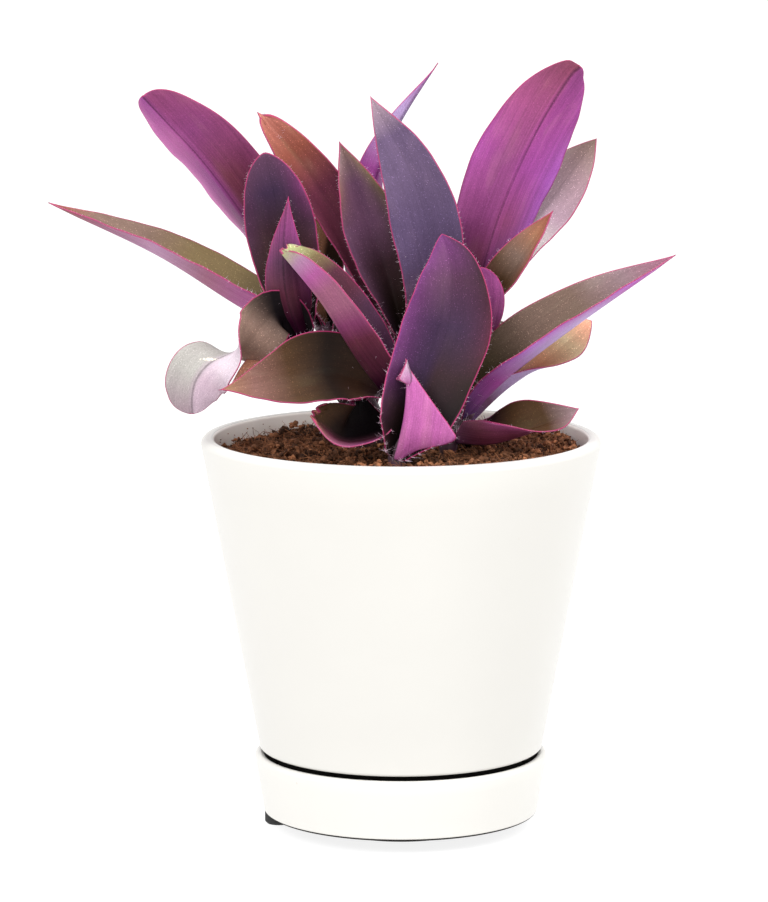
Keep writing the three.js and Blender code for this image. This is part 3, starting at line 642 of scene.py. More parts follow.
MAKERS = {
    "white_glaze": lambda name, paints: glaze_material(name, paints.glaze),
    "saucer_glaze": lambda name, paints: glaze_material(name, paints.saucer_glaze),
    "inner_glaze": lambda name, paints: glaze_material(name, paints.inner_glaze),
    # dark clay, matt and sandy: the pot's foot, partly its unglazed clay and partly painted shade in the
    # gap above the saucer, and painted shade on the saucer's underside and lowest edge
    "dark_foot_clay": lambda name, paints: grained_material(
        name, paints.foot_clay_and_shade, (700, 3), tone=(0.8, 0.6), rough=(0.2, 0.75), bump=(0.0003,),
        specular_ior_level=0.25),
    "soil_bed": lambda name, paints: soil_material(name, False),
    "soil_crumbs": lambda name, paints: soil_material(name, True),
    "leaf_upper": lambda name, paints: leaf_material(
        name, "upper_paint", streaks=0.3, midrib_shade_depth=0.08, painted_glint=2.2, roughness=0.42),
    "leaf_under": lambda name, paints: leaf_material(
        name, "under_paint", streaks=0.9, midrib_shade_depth=0.42, painted_glint=0.8, roughness=0.4),
    # the thin edge of a blade: bright pink, a little uneven
    "leaf_margin": lambda name, paints: grained_material(
        name, paints.margin, (350, 3), patches=("8c3f60", 0.35, 0.75, 1), tone=(0.5, 0.6),
        bump=(0.0002, 0.6), specular_ior_level=0.4),
    # a fleshy stem with a streaked, dark leaf sheath round it
    "stem_sheath": lambda name, paints: grained_material(
        name, paints.sheath, (120, 3, 5.0), grit=(900, 3), along=0.08, patches=("2c1c1c", 0.4, 0.7, 1),
        tone=(0.8, 0.6), bump=(0.0003, 0.7), specular_ior_level=0.4),
    # fine pale hair, a little pink in places
    "leaf_hair": lambda name, paints: grained_material(
        name, paints.hair, (500, 2), patches=("dcb4cc", 0.4, 0.7, 1), specular_ior_level=0.4,
        sheen_weight=0.2),
    # matt white paper with a faint tooth
    "studio_paper": lambda name, paints: grained_material(
        name, settings().stage.floor_colour, (400, 2), tone=(0.02, 0.99), rough=(0.1, 0.85),
        specular_ior_level=0.1, emission_color=(1, 1, 1, 1), emission_strength=FLOOR_GLOW),
}


def material_named(name):
    """A material, made the first time that it is asked for."""
    return bpy.data.materials.get(name) or MAKERS[name](name, settings().finish)


# ---- The saucer and the pot ----
ROUND_SEGMENTS = 144
NOTCH_BEARINGS = (30, 150, 270)
FLOOR_COVE = 2 * MM  # how far the pot's floor stands in from its wall
WALL_START = 6 * MM  # height over the step where the pot's inner wall has its full thickness


def arc(radius, centre_radius, centre_height, start, end, steps):
    """Points of a profile round part of a circle, in degrees."""
    angles = np.radians(np.linspace(start, end, steps + 1))
    return [(centre_radius + radius * math.cos(a), centre_height + radius * math.sin(a)) for a in angles]


def straight(start, end, steps):
    """Points of a profile between two others, without the ends."""
    return [tuple(np.array(start) + (np.array(end) - np.array(start)) * i / steps) for i in range(1, steps)]


def lower_edge(radius, height, edge):
    """Points of a profile round the lower outside edge of a body."""
    round_part = arc(edge, radius - edge, height + edge, -70, -10, 4)
    return [(radius - edge, height), *round_part, (radius, height + edge)]


def turned(name, profile, segments=ROUND_SEGMENTS):
    """Spin a closed outline of (radius, height) points once round the upright axis."""
    piece = named(started(bpy.ops.mesh.primitive_circle_add, vertices=len(profile), radius=0.05), name)
    for vertex, (radius, height) in zip(piece.data.vertices, profile):
        vertex.co = (radius, 0, height)
    spin = {"steps": segments, "angle": FULL_TURN, "center": (0, 0, 0), "axis": (0, 0, 1)}
    on_whole_mesh(piece, (bpy.ops.mesh.spin, spin))
    tidy_mesh(piece)
    return piece


def saucer_profile():
    size = settings().saucer
    lip, chamfer, cove, cove_inset = size.wall / 2, 0.5 * MM, 3 * MM, 2.4 * MM
    edge = lower_edge(size.bottom_radius, size.stand_height, 1.4 * MM)
    rim = arc(lip, size.rim_radius - lip, size.rim_height - lip, 0, 180, 12)
    floor_top = size.stand_height + size.floor
    return [
        (0, 0),
        (size.stand_radius - chamfer, 0),
        (size.stand_radius, chamfer),
        (size.stand_radius, size.stand_height),
        *edge,
        *straight(edge[-1], rim[0], 5),
        *rim,
        *arc(cove, size.bottom_radius - size.wall - cove_inset, floor_top + cove, 0, -90, 6),
        (0, floor_top),
    ]


def pot_inside(height):
    """The radius of the pot's inner wall at a height."""
    size = settings().pot
    share = (height - size.step_height) / (size.rim_height - size.step_height)
    outside = size.step_radius + (size.rim_radius - size.step_radius) * share
    return min(outside - size.wall, size.foot_radius - MM + max(0, height - size.step_height))


def pot_profile():
    size = settings().pot
    recess_top = size.foot_height + size.foot_recess
    outer_lip, inner_lip, outer_chamfer, inner_chamfer = 2.2 * MM, 1.2 * MM, 0.6 * MM, 0.4 * MM
    edge = lower_edge(size.step_radius, size.step_height, 1.2 * MM)
    rim = [
        *arc(outer_lip, size.rim_radius - outer_lip, size.rim_height - outer_lip, 0, 90, 9),
        *arc(inner_lip, size.rim_radius - size.wall + inner_lip, size.rim_height - inner_lip, 90, 180, 5),
    ]
    wall_foot = (pot_inside(size.step_height + WALL_START), size.step_height + WALL_START)
    return [
        (size.drain_radius, recess_top),
        (size.foot_bore, recess_top),
        (size.foot_bore, size.foot_height + inner_chamfer),
        (size.foot_bore + inner_chamfer, size.foot_height),
        (size.foot_radius - outer_chamfer, size.foot_height),
        (size.foot_radius, size.foot_height + outer_chamfer),
        (size.foot_radius, size.step_height),
        *edge,
        *straight(edge[-1], rim[0], 9),
        *rim,
        *straight(rim[-1], wall_foot, 9),
        wall_foot,
        (size.foot_radius - size.wall, size.step_height),
        (size.foot_radius - size.wall - FLOOR_COVE, recess_top + size.floor),
        (size.drain_radius, recess_top + size.floor),
    ]


def cut_notches(pot):
    """Cut the three notches that let water out from under the foot ring."""
    size = settings().pot
    for bearing in map(math.radians, NOTCH_BEARINGS):
        cutter = started(
            bpy.ops.mesh.primitive_cube_add, size=1, rotation=(0, 0, bearing),
            location=Matrix.Rotation(bearing, 4, "Z") @ Vector((size.foot_radius, 0, size.foot_height)),
            scale=(size.foot_radius, size.notch_width, size.foot_recess * 2),
        )
        apply_modifier(pot, "BOOLEAN", object=cutter, operation="DIFFERENCE", solver="EXACT")
        bpy.data.objects.remove(cutter)


class PLANT_OT_saucer(bpy.types.Operator):
    """Turn the saucer, and paint its underside and lowest edge dark as painted shade, the thin shadow line
    under it
    """

    bl_idname = "potted_plant.make_saucer"
    bl_label = "Make saucer"

    def execute(self, context):
        saucer = turned("saucer_ware", saucer_profile())
        coat(saucer, "saucer_glaze", "dark_foot_clay")
        painted_shade_top = settings().saucer.stand_height + 0.8 * MM
        # faces below this height are painted near-black as the shadow line under the saucer
        for face in saucer.data.polygons:
            face.material_index = 1 if face.center.z < painted_shade_top else 0
        smooth_shade(saucer)
        give(saucer, "glaze", "saucer")
        return {"FINISHED"}


class PLANT_OT_pot(bpy.types.Operator):
    """Turn the pot, cut its notches and paint its foot dark, partly as its unglazed clay and partly as
    painted shade in the gap above the saucer
    """

    bl_idname = "potted_plant.make_pot"
    bl_label = "Make pot"

    def execute(self, context):
        pot = turned("pot_ware", pot_profile())
        cut_notches(pot)
        coat(pot, "white_glaze", "dark_foot_clay", "inner_glaze")
        step = settings().pot.step_height
        edge = step + 0.2 * MM
        # the foot below the step takes the dark clay, partly painted shade in the gap above the saucer
        for face in pot.data.polygons:
            low = all(pot.data.vertices[i].co.z < edge for i in face.vertices)
            face.material_index = 1 if low and face.center.z < step + 0.1 * MM else 0
            # the inside takes the paler inner glaze, painted light against the plant's shade
            inside = math.hypot(face.center.x, face.center.y) < pot_inside(face.center.z) + 0.6 * MM
            if inside and face.center.z > edge:
                face.material_index = 2
        smooth_shade(pot)
        give(pot, "glaze", "pot")
        return {"FINISHED"}


# ---- The soil ----
SOIL_GAP = 0.4 * MM
SOIL_SEGMENTS = 168
SOIL_RINGS = 70
CRUMB_SEED, FIBRE_SEED, HAIR_SEED = 11, 23, 100
LUMP_HEIGHT = 0.7 * MM
ROUGH_HEIGHT, ROUGH_SCALE = 0.9 * MM, 330
CRUMB_KINDS = 7
CRUMB_LEAST, CRUMB_EXTRA = 0.26 * MM, 1.1 * MM  # the smallest crumb, and how much the largest adds
CLOD_COUNT = 230  # lumps of crumbs
CLOD_SHARE = 0.7  # how many of the crumbs lie in them
CLOD_WIDTH_MM = (1.2, 4.2)
FIBRE_LENGTH_MM, FIBRE_THICKNESS_MM = (1.6, 5.5), (0.1, 0.24)
WALL_SPECKS, SPECK_SIZE_MM = 70, (0.12, 0.3)
STEM_CLEARANCE = 5 * MM


def soil_top(x, y):
    """The height of the soil's crumbly top."""
    size = settings().soil
    u, v = x / MM, y / MM
    crumbs = math.sin(u * 0.61 + v * 0.23) * math.cos(v * 0.57 - u * 0.31)
    crumbs += 0.6 * math.sin(u * 1.3 - v * 1.7)
    return size.height + size.side_rise * x + size.back_rise * y + LUMP_HEIGHT * crumbs


def soil_profile():
    size = settings().pot
    floor = size.foot_height + size.foot_recess + size.floor + 0.3 * MM
    top = settings().soil.height
    rim = pot_inside(top - 4 * MM) - SOIL_GAP
    wall_foot = size.step_height + WALL_START
    return [
        (0, floor - size.floor),
        (size.drain_radius - SOIL_GAP, floor - size.floor),
        (size.drain_radius - SOIL_GAP, floor),
        (size.foot_radius - size.wall - FLOOR_COVE - SOIL_GAP, floor),
        (size.foot_radius - size.wall - SOIL_GAP, size.step_height),
        (pot_inside(wall_foot) - SOIL_GAP, wall_foot),
        *[(rim * (1 - i / SOIL_RINGS), top) for i in range(SOIL_RINGS + 1)],
    ]


class PLANT_OT_soil(bpy.types.Operator):
    """Fill the pot with soil that has an uneven top"""

    bl_idname = "potted_plant.make_soil"
    bl_label = "Make soil"

    def execute(self, context):
        soil = turned("soil_fill", soil_profile(), SOIL_SEGMENTS)
        for vertex in soil.data.vertices:
            x, y, z = vertex.co
            if z > settings().soil.height - 0.01 * MM:
                rough = noise.fractal(Vector((x, y, 0)) * ROUGH_SCALE, 0.8, 2.1, 4)
                vertex.co.z = soil_top(x, y) + ROUGH_HEIGHT * rough - 0.3 * MM
        coat(soil, "soil_bed")
        smooth_shade(soil, 60)
        give(soil, "soil", "soil")
        return {"FINISHED"}


def model_of(piece):
    """Take a small model apart into its points and triangles, and delete its object."""
    on_whole_mesh(piece, (bpy.ops.mesh.quads_convert_to_tris, {}))
    points = np.array([v.co[:] for v in piece.data.vertices])
    faces = np.array([p.vertices[:] for p in piece.data.polygons])
    bpy.data.objects.remove(piece)
    return points, faces


def crumb_model(rng):
    """A lumpy crumb about two units across, dented in its own way."""
    crumb = started(bpy.ops.mesh.primitive_ico_sphere_add, subdivisions=1, radius=1)
    for vertex in crumb.data.vertices:
        vertex.co = Vector(vertex.co) * rng.uniform(0.6, 1.25)
        vertex.co.z *= 0.75
    return model_of(crumb)


def cut_across(piece, way, places):
    """Cut a thread across its length, so that it can bend."""
    cuts = [{"plane_co": [place * part for part in way], "plane_no": way} for place in places]
    on_whole_mesh(piece, *[(bpy.ops.mesh.bisect, cut) for cut in cuts])


def fibre_model():
    """A thread one unit long along X and one unit thick."""
    fibre = started(
        bpy.ops.mesh.primitive_cylinder_add, vertices=3, radius=0.5, depth=1, rotation=(0, math.pi / 2, 0),
        end_fill_type="NGON",
    )
    bpy.ops.object.transform_apply(location=False, rotation=True, scale=False)
    cut_across(fibre, (1, 0, 0), (-0.25, 0.0, 0.25))
    return model_of(fibre)


def copies_of(name, models, placements):
    """Copy small models into one mesh. A placement is (kind, 3x3 matrix, offset, tint, bend)."""
    points, faces, tints, start = [], [], [], 0
    for kind, matrix, offset, tint, bend in placements:
        model, model_faces = models[kind]
        shape = model.copy()
        shape[:, 1] += bend * (0.25 - shape[:, 0] ** 2)
        points.append(shape @ np.array(matrix).T + np.array(offset))
        faces.append(model_faces + start)
        tints.append(np.full(len(model), tint))
        start += len(model)
    mesh = bpy.data.meshes.new(name)
    mesh.from_pydata(np.vstack(points).tolist(), [], np.vstack(faces).tolist())
    mesh.attributes.new("tint", "FLOAT", "POINT").data.foreach_set("value", np.concatenate(tints))
    piece = bpy.data.objects.new(name, mesh)
    bpy.context.scene.collection.objects.link(piece)
    return piece


def ring_spot(angle, radius):
    return radius * math.cos(angle), radius * math.sin(angle)


def spot_on_soil(rng, reach):
    """A random place on the soil's top, clear of the stems."""
    while True:
        x, y = ring_spot(rng.uniform(0, FULL_TURN), reach * math.sqrt(rng.random()))
        feet = [(stem[1][0] * MM, stem[1][1] * MM) for stem, _ in SHOOTS.values()]
        if all(math.hypot(x - fx, y - fy) > STEM_CLEARANCE for fx, fy in feet):
            return x, y


class PLANT_OT_crumbs(bpy.types.Operator):
    """Strew crumbs of soil over its top, with a few specks on the pot's inner wall"""

    bl_idname = "potted_plant.make_crumbs"
    bl_label = "Make crumbs"

    def execute(self, context):
        size = settings().soil
        rng = random.Random(CRUMB_SEED)
        models = [crumb_model(rng) for _ in range(CRUMB_KINDS)]
        reach = pot_inside(size.height) - 1.2 * MM
        clods = [
            (*spot_on_soil(rng, reach - 3 * MM), MM * rng.uniform(*CLOD_WIDTH_MM), rng.uniform(0, 0.7))
            for _ in range(CLOD_COUNT)
        ]
        placements = []
        for _ in range(size.crumb_count):
            lift, tint = 0, 0.25
            x, y = spot_on_soil(rng, reach)
            if rng.random() < CLOD_SHARE:
                x, y, width, tint = rng.choice(clods)
                angle, out = rng.uniform(0, FULL_TURN), math.sqrt(rng.random())
                aside, back = ring_spot(angle, width * out)
                x, y, lift = x + aside, y + back, 0.6 * width * math.sqrt(1 - 0.96 * out * out)
            across = CRUMB_LEAST + CRUMB_EXTRA * rng.random() ** 3.2
            angle = rng.uniform(0, math.pi)
            matrix = Matrix.Rotation(angle, 3, Vector((rng.uniform(-1, 1), rng.uniform(-1, 1), 1))) * across
            z = soil_top(x, y) + lift + across * rng.uniform(-0.1, 0.75)
            kind = rng.randrange(CRUMB_KINDS)
            placements.append((kind, matrix, (x, y, z), min(1, tint * rng.uniform(0.1, 2)), 0))
        for _ in range(WALL_SPECKS):
            angle, rise = rng.uniform(0, FULL_TURN), 2.6 * MM * rng.random() ** 1.5
            height = size.height + 0.6 * MM + rise
            across = MM * rng.uniform(*SPECK_SIZE_MM)
            turn = Matrix.Rotation(rng.uniform(0, math.pi), 3, "Z")
            spot = (*ring_spot(angle, pot_inside(height) - 0.1 * MM), height)
            placements.append((rng.randrange(CRUMB_KINDS), turn * across, spot, rng.random(), 0))
        crumbs = copies_of("soil_crumbs", models, placements)
        coat(crumbs, "soil_crumbs")
        give(crumbs, "soil")
        return {"FINISHED"}


class PLANT_OT_fibres(bpy.types.Operator):
    """Strew short bent fibres over the soil"""

    bl_idname = "potted_plant.make_fibres"
    bl_label = "Make fibres"

    def execute(self, context):
        rng = random.Random(FIBRE_SEED)
        reach = pot_inside(settings().soil.height) - 3 * MM
        placements = []
        for _ in range(settings().soil.fibre_count):
            x, y = spot_on_soil(rng, reach)
            long, thick = MM * rng.uniform(*FIBRE_LENGTH_MM), MM * rng.uniform(*FIBRE_THICKNESS_MM)
            tilt = Matrix.Rotation(rng.gauss(0, 0.6), 3, "Y")
            turn = Matrix.Rotation(rng.uniform(0, FULL_TURN), 3, "Z") @ tilt
            z = soil_top(x, y) + MM * rng.uniform(0.4, 2)
            bend = rng.uniform(-1.4, 1.4) * long / thick * 0.35
            matrix = turn @ Matrix.Diagonal((long, thick, thick))
            placements.append((0, matrix, (x, y, z), 0.15 + 0.85 * rng.random(), bend))
        fibres = copies_of("soil_fibres", [fibre_model()], placements)
        coat(fibres, "soil_crumbs")
        give(fibres, "soil")
        return {"FINISHED"}


# ---- Making the leafy stems ----
BLADE_ROWS, BLADE_STRIPS = 72, 14
TIP_CROWDING = 1.5  # how much closer the rows of a blade lie at its tip
MIDRIB_ROUNDING = 0.1  # the share of each half over which the fold begins
RIPPLE, RIPPLE_LENGTH = 0.012, 5.3  # how much the width varies along a blade, and its length
PLEATS, PLEAT_DEPTH = 5, 0.04
TORN_FROM = 0.88  # the share of its length past which a ragged leaf is torn
SEED_STEP = 7.3
LINE_STEPS = 400
STEM_STEPS = 26
RAGGED_TIP, SHARP_TIP = 0.02, 0.002  # the narrowest share of a blade's width
SCAR_HEIGHT = 0.7  # in millimetres
HAIRS_PER_MM = 4
HAIRY_SHARE = 0.94  # hairs stop short of the tip
SHAGGY_SHARE = 0.4  # nearer the root than this they are longer, and stand on the blade too
HAIR_UNREST = 0.35


def hermite(points, place):
    """A smooth line through points at a running place, and its direction there."""
    points = np.asarray(points, float)
    ends = np.vstack([2 * points[0] - points[1], points, 2 * points[-1] - points[-2]])
    start = np.clip(place.astype(int), 0, len(points) - 2)
    t = (place - start)[:, None]
    before, first, second, after = (ends[start + k] for k in range(4))
    rise_in, rise_out = (second - before) / 2, (after - first) / 2
    fall = 2 * (first - second) + rise_in + rise_out
    turn = 3 * (second - first) - 2 * rise_in - rise_out
    return ((fall * t + turn) * t + rise_in) * t + first, (3 * fall * t + 2 * turn) * t + rise_in


def along(values, shares):
    """Read evenly spaced stations at shares from 0 to 1, with rounded corners and no overshoot."""
    table = np.array(values, float).reshape(len(values), -1)
    places = np.linspace(0, 1, len(values))
    reach = 0.45 / max(1, len(values) - 1)
    near = [np.clip(shares + step * reach, 0, 1) for step in np.linspace(-1, 1, 9)]
    columns = [np.mean([np.interp(n, places, column) for n in near], axis=0) for column in table.T]
    return np.stack(columns, axis=1)


def unit(vectors):
    return vectors / np.linalg.norm(vectors, axis=1)[:, None]


def track(points, shares):
    """Points and directions at shares of the length of a smooth line through points, and its length."""
    places = np.linspace(0, len(points) - 1, LINE_STEPS)
    steps = np.diff(hermite(points, places)[0], axis=0)
    run = np.concatenate([[0], np.cumsum(np.linalg.norm(steps, axis=1))])
    centre, way = hermite(points, np.interp(shares * run[-1], run, places))
    return centre, unit(way), run[-1]


def half_width(leaf, share):
    """Half the blade's width in millimetres at a share of its length."""
    if share < leaf["belly"]:
        swell = math.sin(math.pi / 2 * share / leaf["belly"]) ** leaf["rise"]
        root = min(1, 0.4 + 6 * share)
        return root * leaf["width"] / 2 * (leaf["neck"] + (1 - leaf["neck"]) * swell)
    past = (share - leaf["belly"]) / (1 - leaf["belly"])
    least = RAGGED_TIP if leaf["ragged"] else SHARP_TIP
    return leaf["width"] / 2 * max(least, 1 - past ** leaf["taper"]) ** leaf["point"]


def blade_rows(leaf, seed):
    """The middle sheet of a blade, in millimetres: for each row from root to tip, the points from
    the midrib to one margin and to the other, with their normals and outward directions."""
    rng = random.Random(seed)
    shares = 1 - (1 - np.arange(BLADE_ROWS + 1) / BLADE_ROWS) ** TIP_CROWDING
    centre, way, long = track(leaf["midrib"], shares)
    face = along(leaf["faces"], shares)
    face = unit(face - way * np.sum(face * way, axis=1)[:, None])
    side = np.cross(face, way)
    fold, curl = (np.radians(along(leaf[key], shares)[:, 0]) for key in ("fold", "curl"))
    halves = np.array([half_width(leaf, s) for s in shares])
    reach = np.arange(BLADE_STRIPS + 1) / BLADE_STRIPS
    phases = [rng.uniform(0, FULL_TURN) for _ in range(6)]
    wave_length = rng.uniform(17, 26)
    run = (shares * long)[:, None]
    body = np.minimum(1, halves / 4)[:, None]
    end = (np.clip((shares - TORN_FROM) / (1 - TORN_FROM), 0, 1) * np.minimum(1, halves / 3))[:, None]

    def across(sideways, upwards):
        """Turn distances from the midrib, to the side and up from the blade, into space."""
        return side[:, None] * sideways[..., None] + face[:, None] * upwards[..., None]

    sheet = {}
    for sign in (1, -1):
        out, up, slope = np.zeros((3, BLADE_ROWS + 1, BLADE_STRIPS + 1))
        uneven = 1 + RIPPLE * np.sin(shares * long / RIPPLE_LENGTH + phases[0] * sign)
        strip_width = halves * uneven / BLADE_STRIPS
        for k in range(1, BLADE_STRIPS + 1):
            mid = (k - 0.5) / BLADE_STRIPS
            bend = (fold + curl * mid) * min(1, mid / MIDRIB_ROUNDING)
            out[:, k] = out[:, k - 1] + strip_width * np.cos(bend)
            up[:, k] = up[:, k - 1] + strip_width * np.sin(bend)
            slope[:, k] = (fold + curl * reach[k]) * min(1, reach[k] / MIDRIB_ROUNDING)
        normals = across(-sign * np.sin(slope), np.cos(slope))
        wave = settings().leaf.margin_wave / MM * reach**2.5 * (
            np.sin(FULL_TURN * run / wave_length + phases[1 + (sign > 0)])
            + 0.4 * np.sin(FULL_TURN * run / (wave_length * 0.41) + phases[3])
        )
        pleat = np.sin(reach * math.pi * PLEATS + phases[4]) * np.sin(math.pi * np.minimum(1, reach * 1.05))
        torn = np.sin(reach * 9 * sign + phases[5]) + 0.6 * np.sin(reach * 23 * sign + phases[2])
        points = centre[:, None] + across(sign * out, up)
        points += normals * (body * (wave + PLEAT_DEPTH * pleat))[..., None]
        points += way[:, None] * (leaf["ragged"] * 0.5 * end * torn)[..., None]
        outward = across(sign * np.cos(slope), np.sin(slope))
        sheet[sign] = {"points": points, "normals": normals, "outward": outward}
    return {"shares": shares, "halves": halves, "length": long, "way": way, "sheet": sheet}


def paint_along(names, shares):
    """Blend a list of colour names evenly from root to tip."""
    stops = np.array([linear(PALETTE[name])[:3] for name in names])
    return np.stack([np.interp(shares, np.linspace(0, 1, len(names)), stop) for stop in stops.T], axis=1)


def paint_blade(paint, tone, shares, signed_reach):
    """The colour of each point of one side of a blade."""
    bands = [paint_along(band.split(), shares) for band in paint.split("/")]
    first, second = bands[(len(bands) - 1) // 2], bands[len(bands) // 2]
    half = np.clip(0.5 + signed_reach * 3, 0, 1)[:, None]
    colour = second + (first - second) * half * half * (3 - 2 * half)
    if len(bands) > 2:
        outer = np.where((signed_reach > 0)[:, None], bands[0], bands[-1])
        colour += (outer - colour) * np.abs(signed_reach)[:, None] ** 2.4
    # tone lightens or darkens the whole side: painted light
    return np.hstack([tone * colour, np.ones((len(shares), 1))])


def make_blade(name, leaf, seed):
    """Shape a grid into one blade and thicken it."""
    grid = {"x_subdivisions": 2 * BLADE_STRIPS, "y_subdivisions": BLADE_ROWS, "size": 2}
    blade = named(started(bpy.ops.mesh.primitive_grid_add, **grid), name)
    flat = np.array([v.co[:] for v in blade.data.vertices])
    column = np.rint(-flat[:, 0] * BLADE_STRIPS).astype(int)
    row = np.rint((flat[:, 1] + 1) / 2 * BLADE_ROWS).astype(int)
    made = blade_rows(leaf, seed)
    steps, signs = np.abs(column), np.where(column >= 0, 1, -1)
    first, second = (made["sheet"][sign]["points"][row, steps] for sign in (1, -1))
    points = np.where((signs > 0)[:, None], first, second)
    blade.data.vertices.foreach_set("co", (points * MM).ravel())

    shares, halves, reach = made["shares"][row], made["halves"][row], steps / BLADE_STRIPS
    margin = np.minimum(halves * (1 - reach), made["length"] * (1 - shares))
    scar = np.zeros(len(points))
    if leaf["scar"]:
        x, z, long = leaf["scar"]
        scar = np.clip(1.2 - np.hypot((points[:, 0] - x) / long, (points[:, 2] - z) / SCAR_HEIGHT), 0, 1)
    upper, under = (paint_blade(leaf[key], tone, shares, signs * reach)
                    for key, tone in zip(("upper", "under"), leaf["tone"]))
    for key, kind, field, values in (
        ("upper_paint", "FLOAT_COLOR", "color", upper),
        ("under_paint", "FLOAT_COLOR", "color", under),
        ("blade_place", "FLOAT_VECTOR", "vector",
         np.stack([signs * reach * halves, shares * made["length"], margin], axis=1)),
        ("blade_seed", "FLOAT", "value", np.full(len(points), seed * SEED_STEP)),
        ("blade_scar", "FLOAT", "value", scar),
    ):
        attribute = blade.data.attributes.new(key, kind, "POINT")
        attribute.data.foreach_set(field, np.ascontiguousarray(values, np.float32).ravel())
    body = blade.vertex_groups.new(name="body")
    for index, weight in enumerate((1 - reach**2) * np.minimum(1, halves / 3)):
        body.add([index], float(weight), "REPLACE")
    coat(blade, "leaf_upper", "leaf_under", "leaf_margin")
    apply_modifier(
        blade, "SOLIDIFY", thickness=settings().leaf.thickness, offset=0, vertex_group="body",
        thickness_vertex_group=settings().leaf.margin_share, use_rim=True, material_offset=1,
        material_offset_rim=2, use_quality_normals=True,
    )
    blade.vertex_groups.clear()
    return blade


def make_stem(name, points):
    """Draw a fleshy stem as a thick line and make it a mesh."""
    size = settings().leaf
    shares = np.linspace(0, 1, STEM_STEPS)
    centre = track(points, shares)[0]
    stem = started(bpy.ops.curve.primitive_nurbs_path_add)
    line = stem.data
    line.splines.clear()
    spline = line.splines.new("POLY")
    spline.points.add(len(centre) - 1)
    for spot, share, knot in zip(centre, shares, spline.points):
        swell = 1 + 0.1 * math.sin(share * 21) ** 6
        knot.co = (*(spot * MM), 1)
        knot.radius = (size.stem_base + (size.stem_tip - size.stem_base) * share) * swell
    line.dimensions = "3D"
    line.bevel_depth = 1
    line.bevel_resolution = 4
    line.use_fill_caps = True
    pick(stem)
    bpy.ops.object.convert(target="MESH")
    stem = named(bpy.context.object, name)
    tidy_mesh(stem)
    coat(stem, "stem_sheath")
    return stem


def shoot_choice():
    return bpy.props.StringProperty(
        name="Shoot", description="Which leafy stem", default="leafy_stem_front"
    )


def shoot_named(name):
    """A leafy stem's number, its stem, and its leaves with the seed of each."""
    if name not in SHOOTS:
        raise ValueError(f"there is no leafy stem called {name}")
    order = list(SHOOTS).index(name)
    stem, leaves = SHOOTS[name]
    return order, stem, [(leaf, 10 * order + i) for i, leaf in enumerate(leaves, 1)]


class PLANT_OT_leafy_stem(bpy.types.Operator):
    """Make one stem with all its leaves"""

    bl_idname = "potted_plant.make_leafy_stem"
    bl_label = "Make leafy stem"

    shoot: shoot_choice()

    def execute(self, context):
        _, line, leaves = shoot_named(self.shoot)
        blades = [make_blade(f"{self.shoot}_blade_{seed}", leaf, seed) for leaf, seed in leaves]
        pick(blades[0], make_stem(f"{self.shoot}_stem", line), *blades[1:])
        bpy.ops.object.join()
        whole = named(bpy.context.object, self.shoot.replace("leafy_stem", "foliage"))
        for face in whole.data.polygons:
            face.use_smooth = True
        give(whole, "leaf", self.shoot)
        return {"FINISHED"}


def hair_model():
    """One hair, a unit long along Z and a unit thick at its root."""
    cone = {"vertices": 3, "radius1": 1, "radius2": 0, "depth": 1, "location": (0, 0, 0.5)}
    hair = started(bpy.ops.mesh.primitive_cone_add, **cone)
    bpy.ops.object.transform_apply(location=True, rotation=False, scale=False)
    cut_across(hair, (0, 0, 1), (0.5,))
    return model_of(hair)


class PLANT_OT_hairs(bpy.types.Operator):
    """Set fine hairs along the margins of one stem's leaves, thicker at their roots"""

    bl_idname = "potted_plant.make_hairs"
    bl_label = "Make hairs"

    shoot: shoot_choice()

    def execute(self, context):
        size = settings().leaf
        order, _, leaves = shoot_named(self.shoot)
        rng = random.Random(HAIR_SEED + order)
        placements = []
        for leaf, seed in leaves:
            made = blade_rows(leaf, seed)
            for _ in range(int(made["length"] * HAIRS_PER_MM)):
                half = made["sheet"][rng.choice((1, -1))]
                share = HAIRY_SHARE * rng.random() ** 2.2
                near_root = max(0, 1 - share / SHAGGY_SHARE)
                inner = rng.random() < 0.4 * near_root
                row = int(share * (BLADE_ROWS - 1))
                spot = (row, rng.randrange(2, BLADE_STRIPS) if inner else BLADE_STRIPS)
                jitter = Vector([rng.gauss(0, HAIR_UNREST) for _ in range(3)])
                lift = half["normals"][spot] * rng.choice((1, -1))
                out = lift if inner else half["outward"][spot] + 0.5 * lift
                way = Vector(out) + jitter + Vector(made["way"][row]) * 0.3
                tall = size.hair_length * (0.12 + 0.18 * rng.random() + 0.7 * near_root * rng.random())
                thick = size.hair_radius * (0.5 + 0.5 * near_root)
                roll = Matrix.Rotation(rng.uniform(0, 6.28), 3, "Z")
                turn = way.to_track_quat("Z", "Y").to_matrix() @ roll
                matrix = turn @ Matrix.Diagonal((thick, thick, tall))
                placements.append((0, matrix, tuple(half["points"][spot] * MM), rng.random(), 0))
        hairs = copies_of(self.shoot.replace("leafy_stem", "hairs"), [hair_model()], placements)
        coat(hairs, "leaf_hair")
        give(hairs, "leaf")
        return {"FINISHED"}


# ---- The stage ----
FLOOR_WIDTH = 12
WHITE = (1, 1, 1, 1)
LAMPS = {  # where each soft lamp stands, the height that it aims at, and its width
    "key": ((-0.75, -1.0, 0.95), 0.15, 0.8),
    "fill": ((0.8, -0.5, 1.0), 0.18, 0.9),
    "top": ((0, -0.3, 1.1), 0.12, 0.7),
}


def stand_in_scene(name, data, place, turn):
    """Put a lamp or a camera in the scene."""
    stand = bpy.data.objects.new(name, data)
    stand.location = place
    stand.rotation_euler = turn
    bpy.context.scene.collection.objects.link(stand)
    return stand


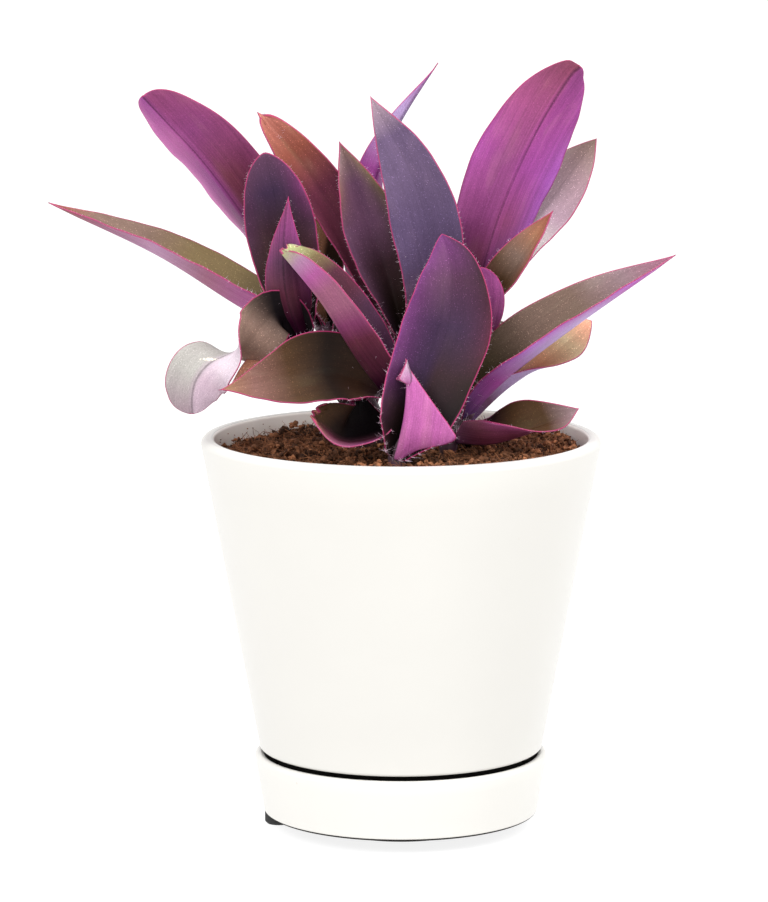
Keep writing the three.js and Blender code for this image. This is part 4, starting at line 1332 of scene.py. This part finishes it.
class PLANT_OT_stage(bpy.types.Operator):
    """Set up the pale floor, the soft light and the camera"""

    bl_idname = "potted_plant.make_stage"
    bl_label = "Make stage"

    def execute(self, context):
        stage = settings().stage
        floor = named(started(bpy.ops.mesh.primitive_plane_add, size=FLOOR_WIDTH), "studio_floor")
        coat(floor, "studio_paper")
        world = bpy.data.worlds.new("white_surround")
        world.use_nodes = True
        backdrop = world.node_tree.nodes["Background"]
        backdrop.inputs["Color"].default_value = WHITE
        backdrop.inputs["Strength"].default_value = stage.surround
        context.scene.world = world
        for name, (place, aim_height, width) in LAMPS.items():
            lamp = bpy.data.lights.new(f"{name}_lamp", "AREA")
            lamp.shape = "DISK"
            lamp.size = width
            lamp.energy = getattr(stage, f"{name}_power")
            aim = Vector((0, 0, aim_height)) - Vector(place)
            stand_in_scene(f"{name}_lamp", lamp, place, aim.to_track_quat("-Z", "Y").to_euler())
        lens = bpy.data.cameras.new("camera")
        lens.sensor_fit = "VERTICAL"
        lens.sensor_height = 36
        lens.lens = stage.camera_lens
        context.scene.camera = stand_in_scene("camera", lens, stage.camera_place, stage.camera_turn)
        context.scene.view_settings.view_transform = "Standard"
        return {"FINISHED"}


class PLANT_PT_panel(bpy.types.Panel):
    """Buttons that make the plant piece by piece"""

    bl_idname = "PLANT_PT_panel"
    bl_label = "Potted plant"
    bl_space_type = "VIEW_3D"
    bl_region_type = "UI"
    bl_category = "Potted plant"

    def draw(self, context):
        for maker in OPERATORS:
            self.layout.operator(maker.bl_idname)
        for group in ("saucer", "pot", "soil", "leaf", "finish", "stage"):
            box = self.layout.box()
            sizes = getattr(settings(), group)
            for key in type(sizes).__annotations__:
                box.prop(sizes, key)


OPERATORS = (
    PLANT_OT_saucer,
    PLANT_OT_pot,
    PLANT_OT_soil,
    PLANT_OT_crumbs,
    PLANT_OT_fibres,
    PLANT_OT_leafy_stem,
    PLANT_OT_hairs,
    PLANT_OT_stage,
)
GROUPS = (SaucerSizes, PotSizes, SoilSizes, LeafSizes, Finishes, StageSettings, PlantSettings)


def register():
    for each in (*GROUPS, *OPERATORS, PLANT_PT_panel):
        bpy.utils.register_class(each)
    bpy.types.Scene.potted_plant = bpy.props.PointerProperty(
        type=PlantSettings, name="Potted plant", description="Sizes and colours of the potted plant"
    )


def unregister():
    del bpy.types.Scene.potted_plant
    for each in reversed((*GROUPS, *OPERATORS, PLANT_PT_panel)):
        bpy.utils.unregister_class(each)


def main():
    register()
    bpy.ops.potted_plant.make_saucer()
    bpy.ops.potted_plant.make_pot()
    bpy.ops.potted_plant.make_soil()
    bpy.ops.potted_plant.make_crumbs()
    bpy.ops.potted_plant.make_fibres()
    for shoot in SHOOTS:
        bpy.ops.potted_plant.make_leafy_stem(shoot=shoot)
        bpy.ops.potted_plant.make_hairs(shoot=shoot)
    bpy.ops.potted_plant.make_stage()


if __name__ == "__main__":
    main()
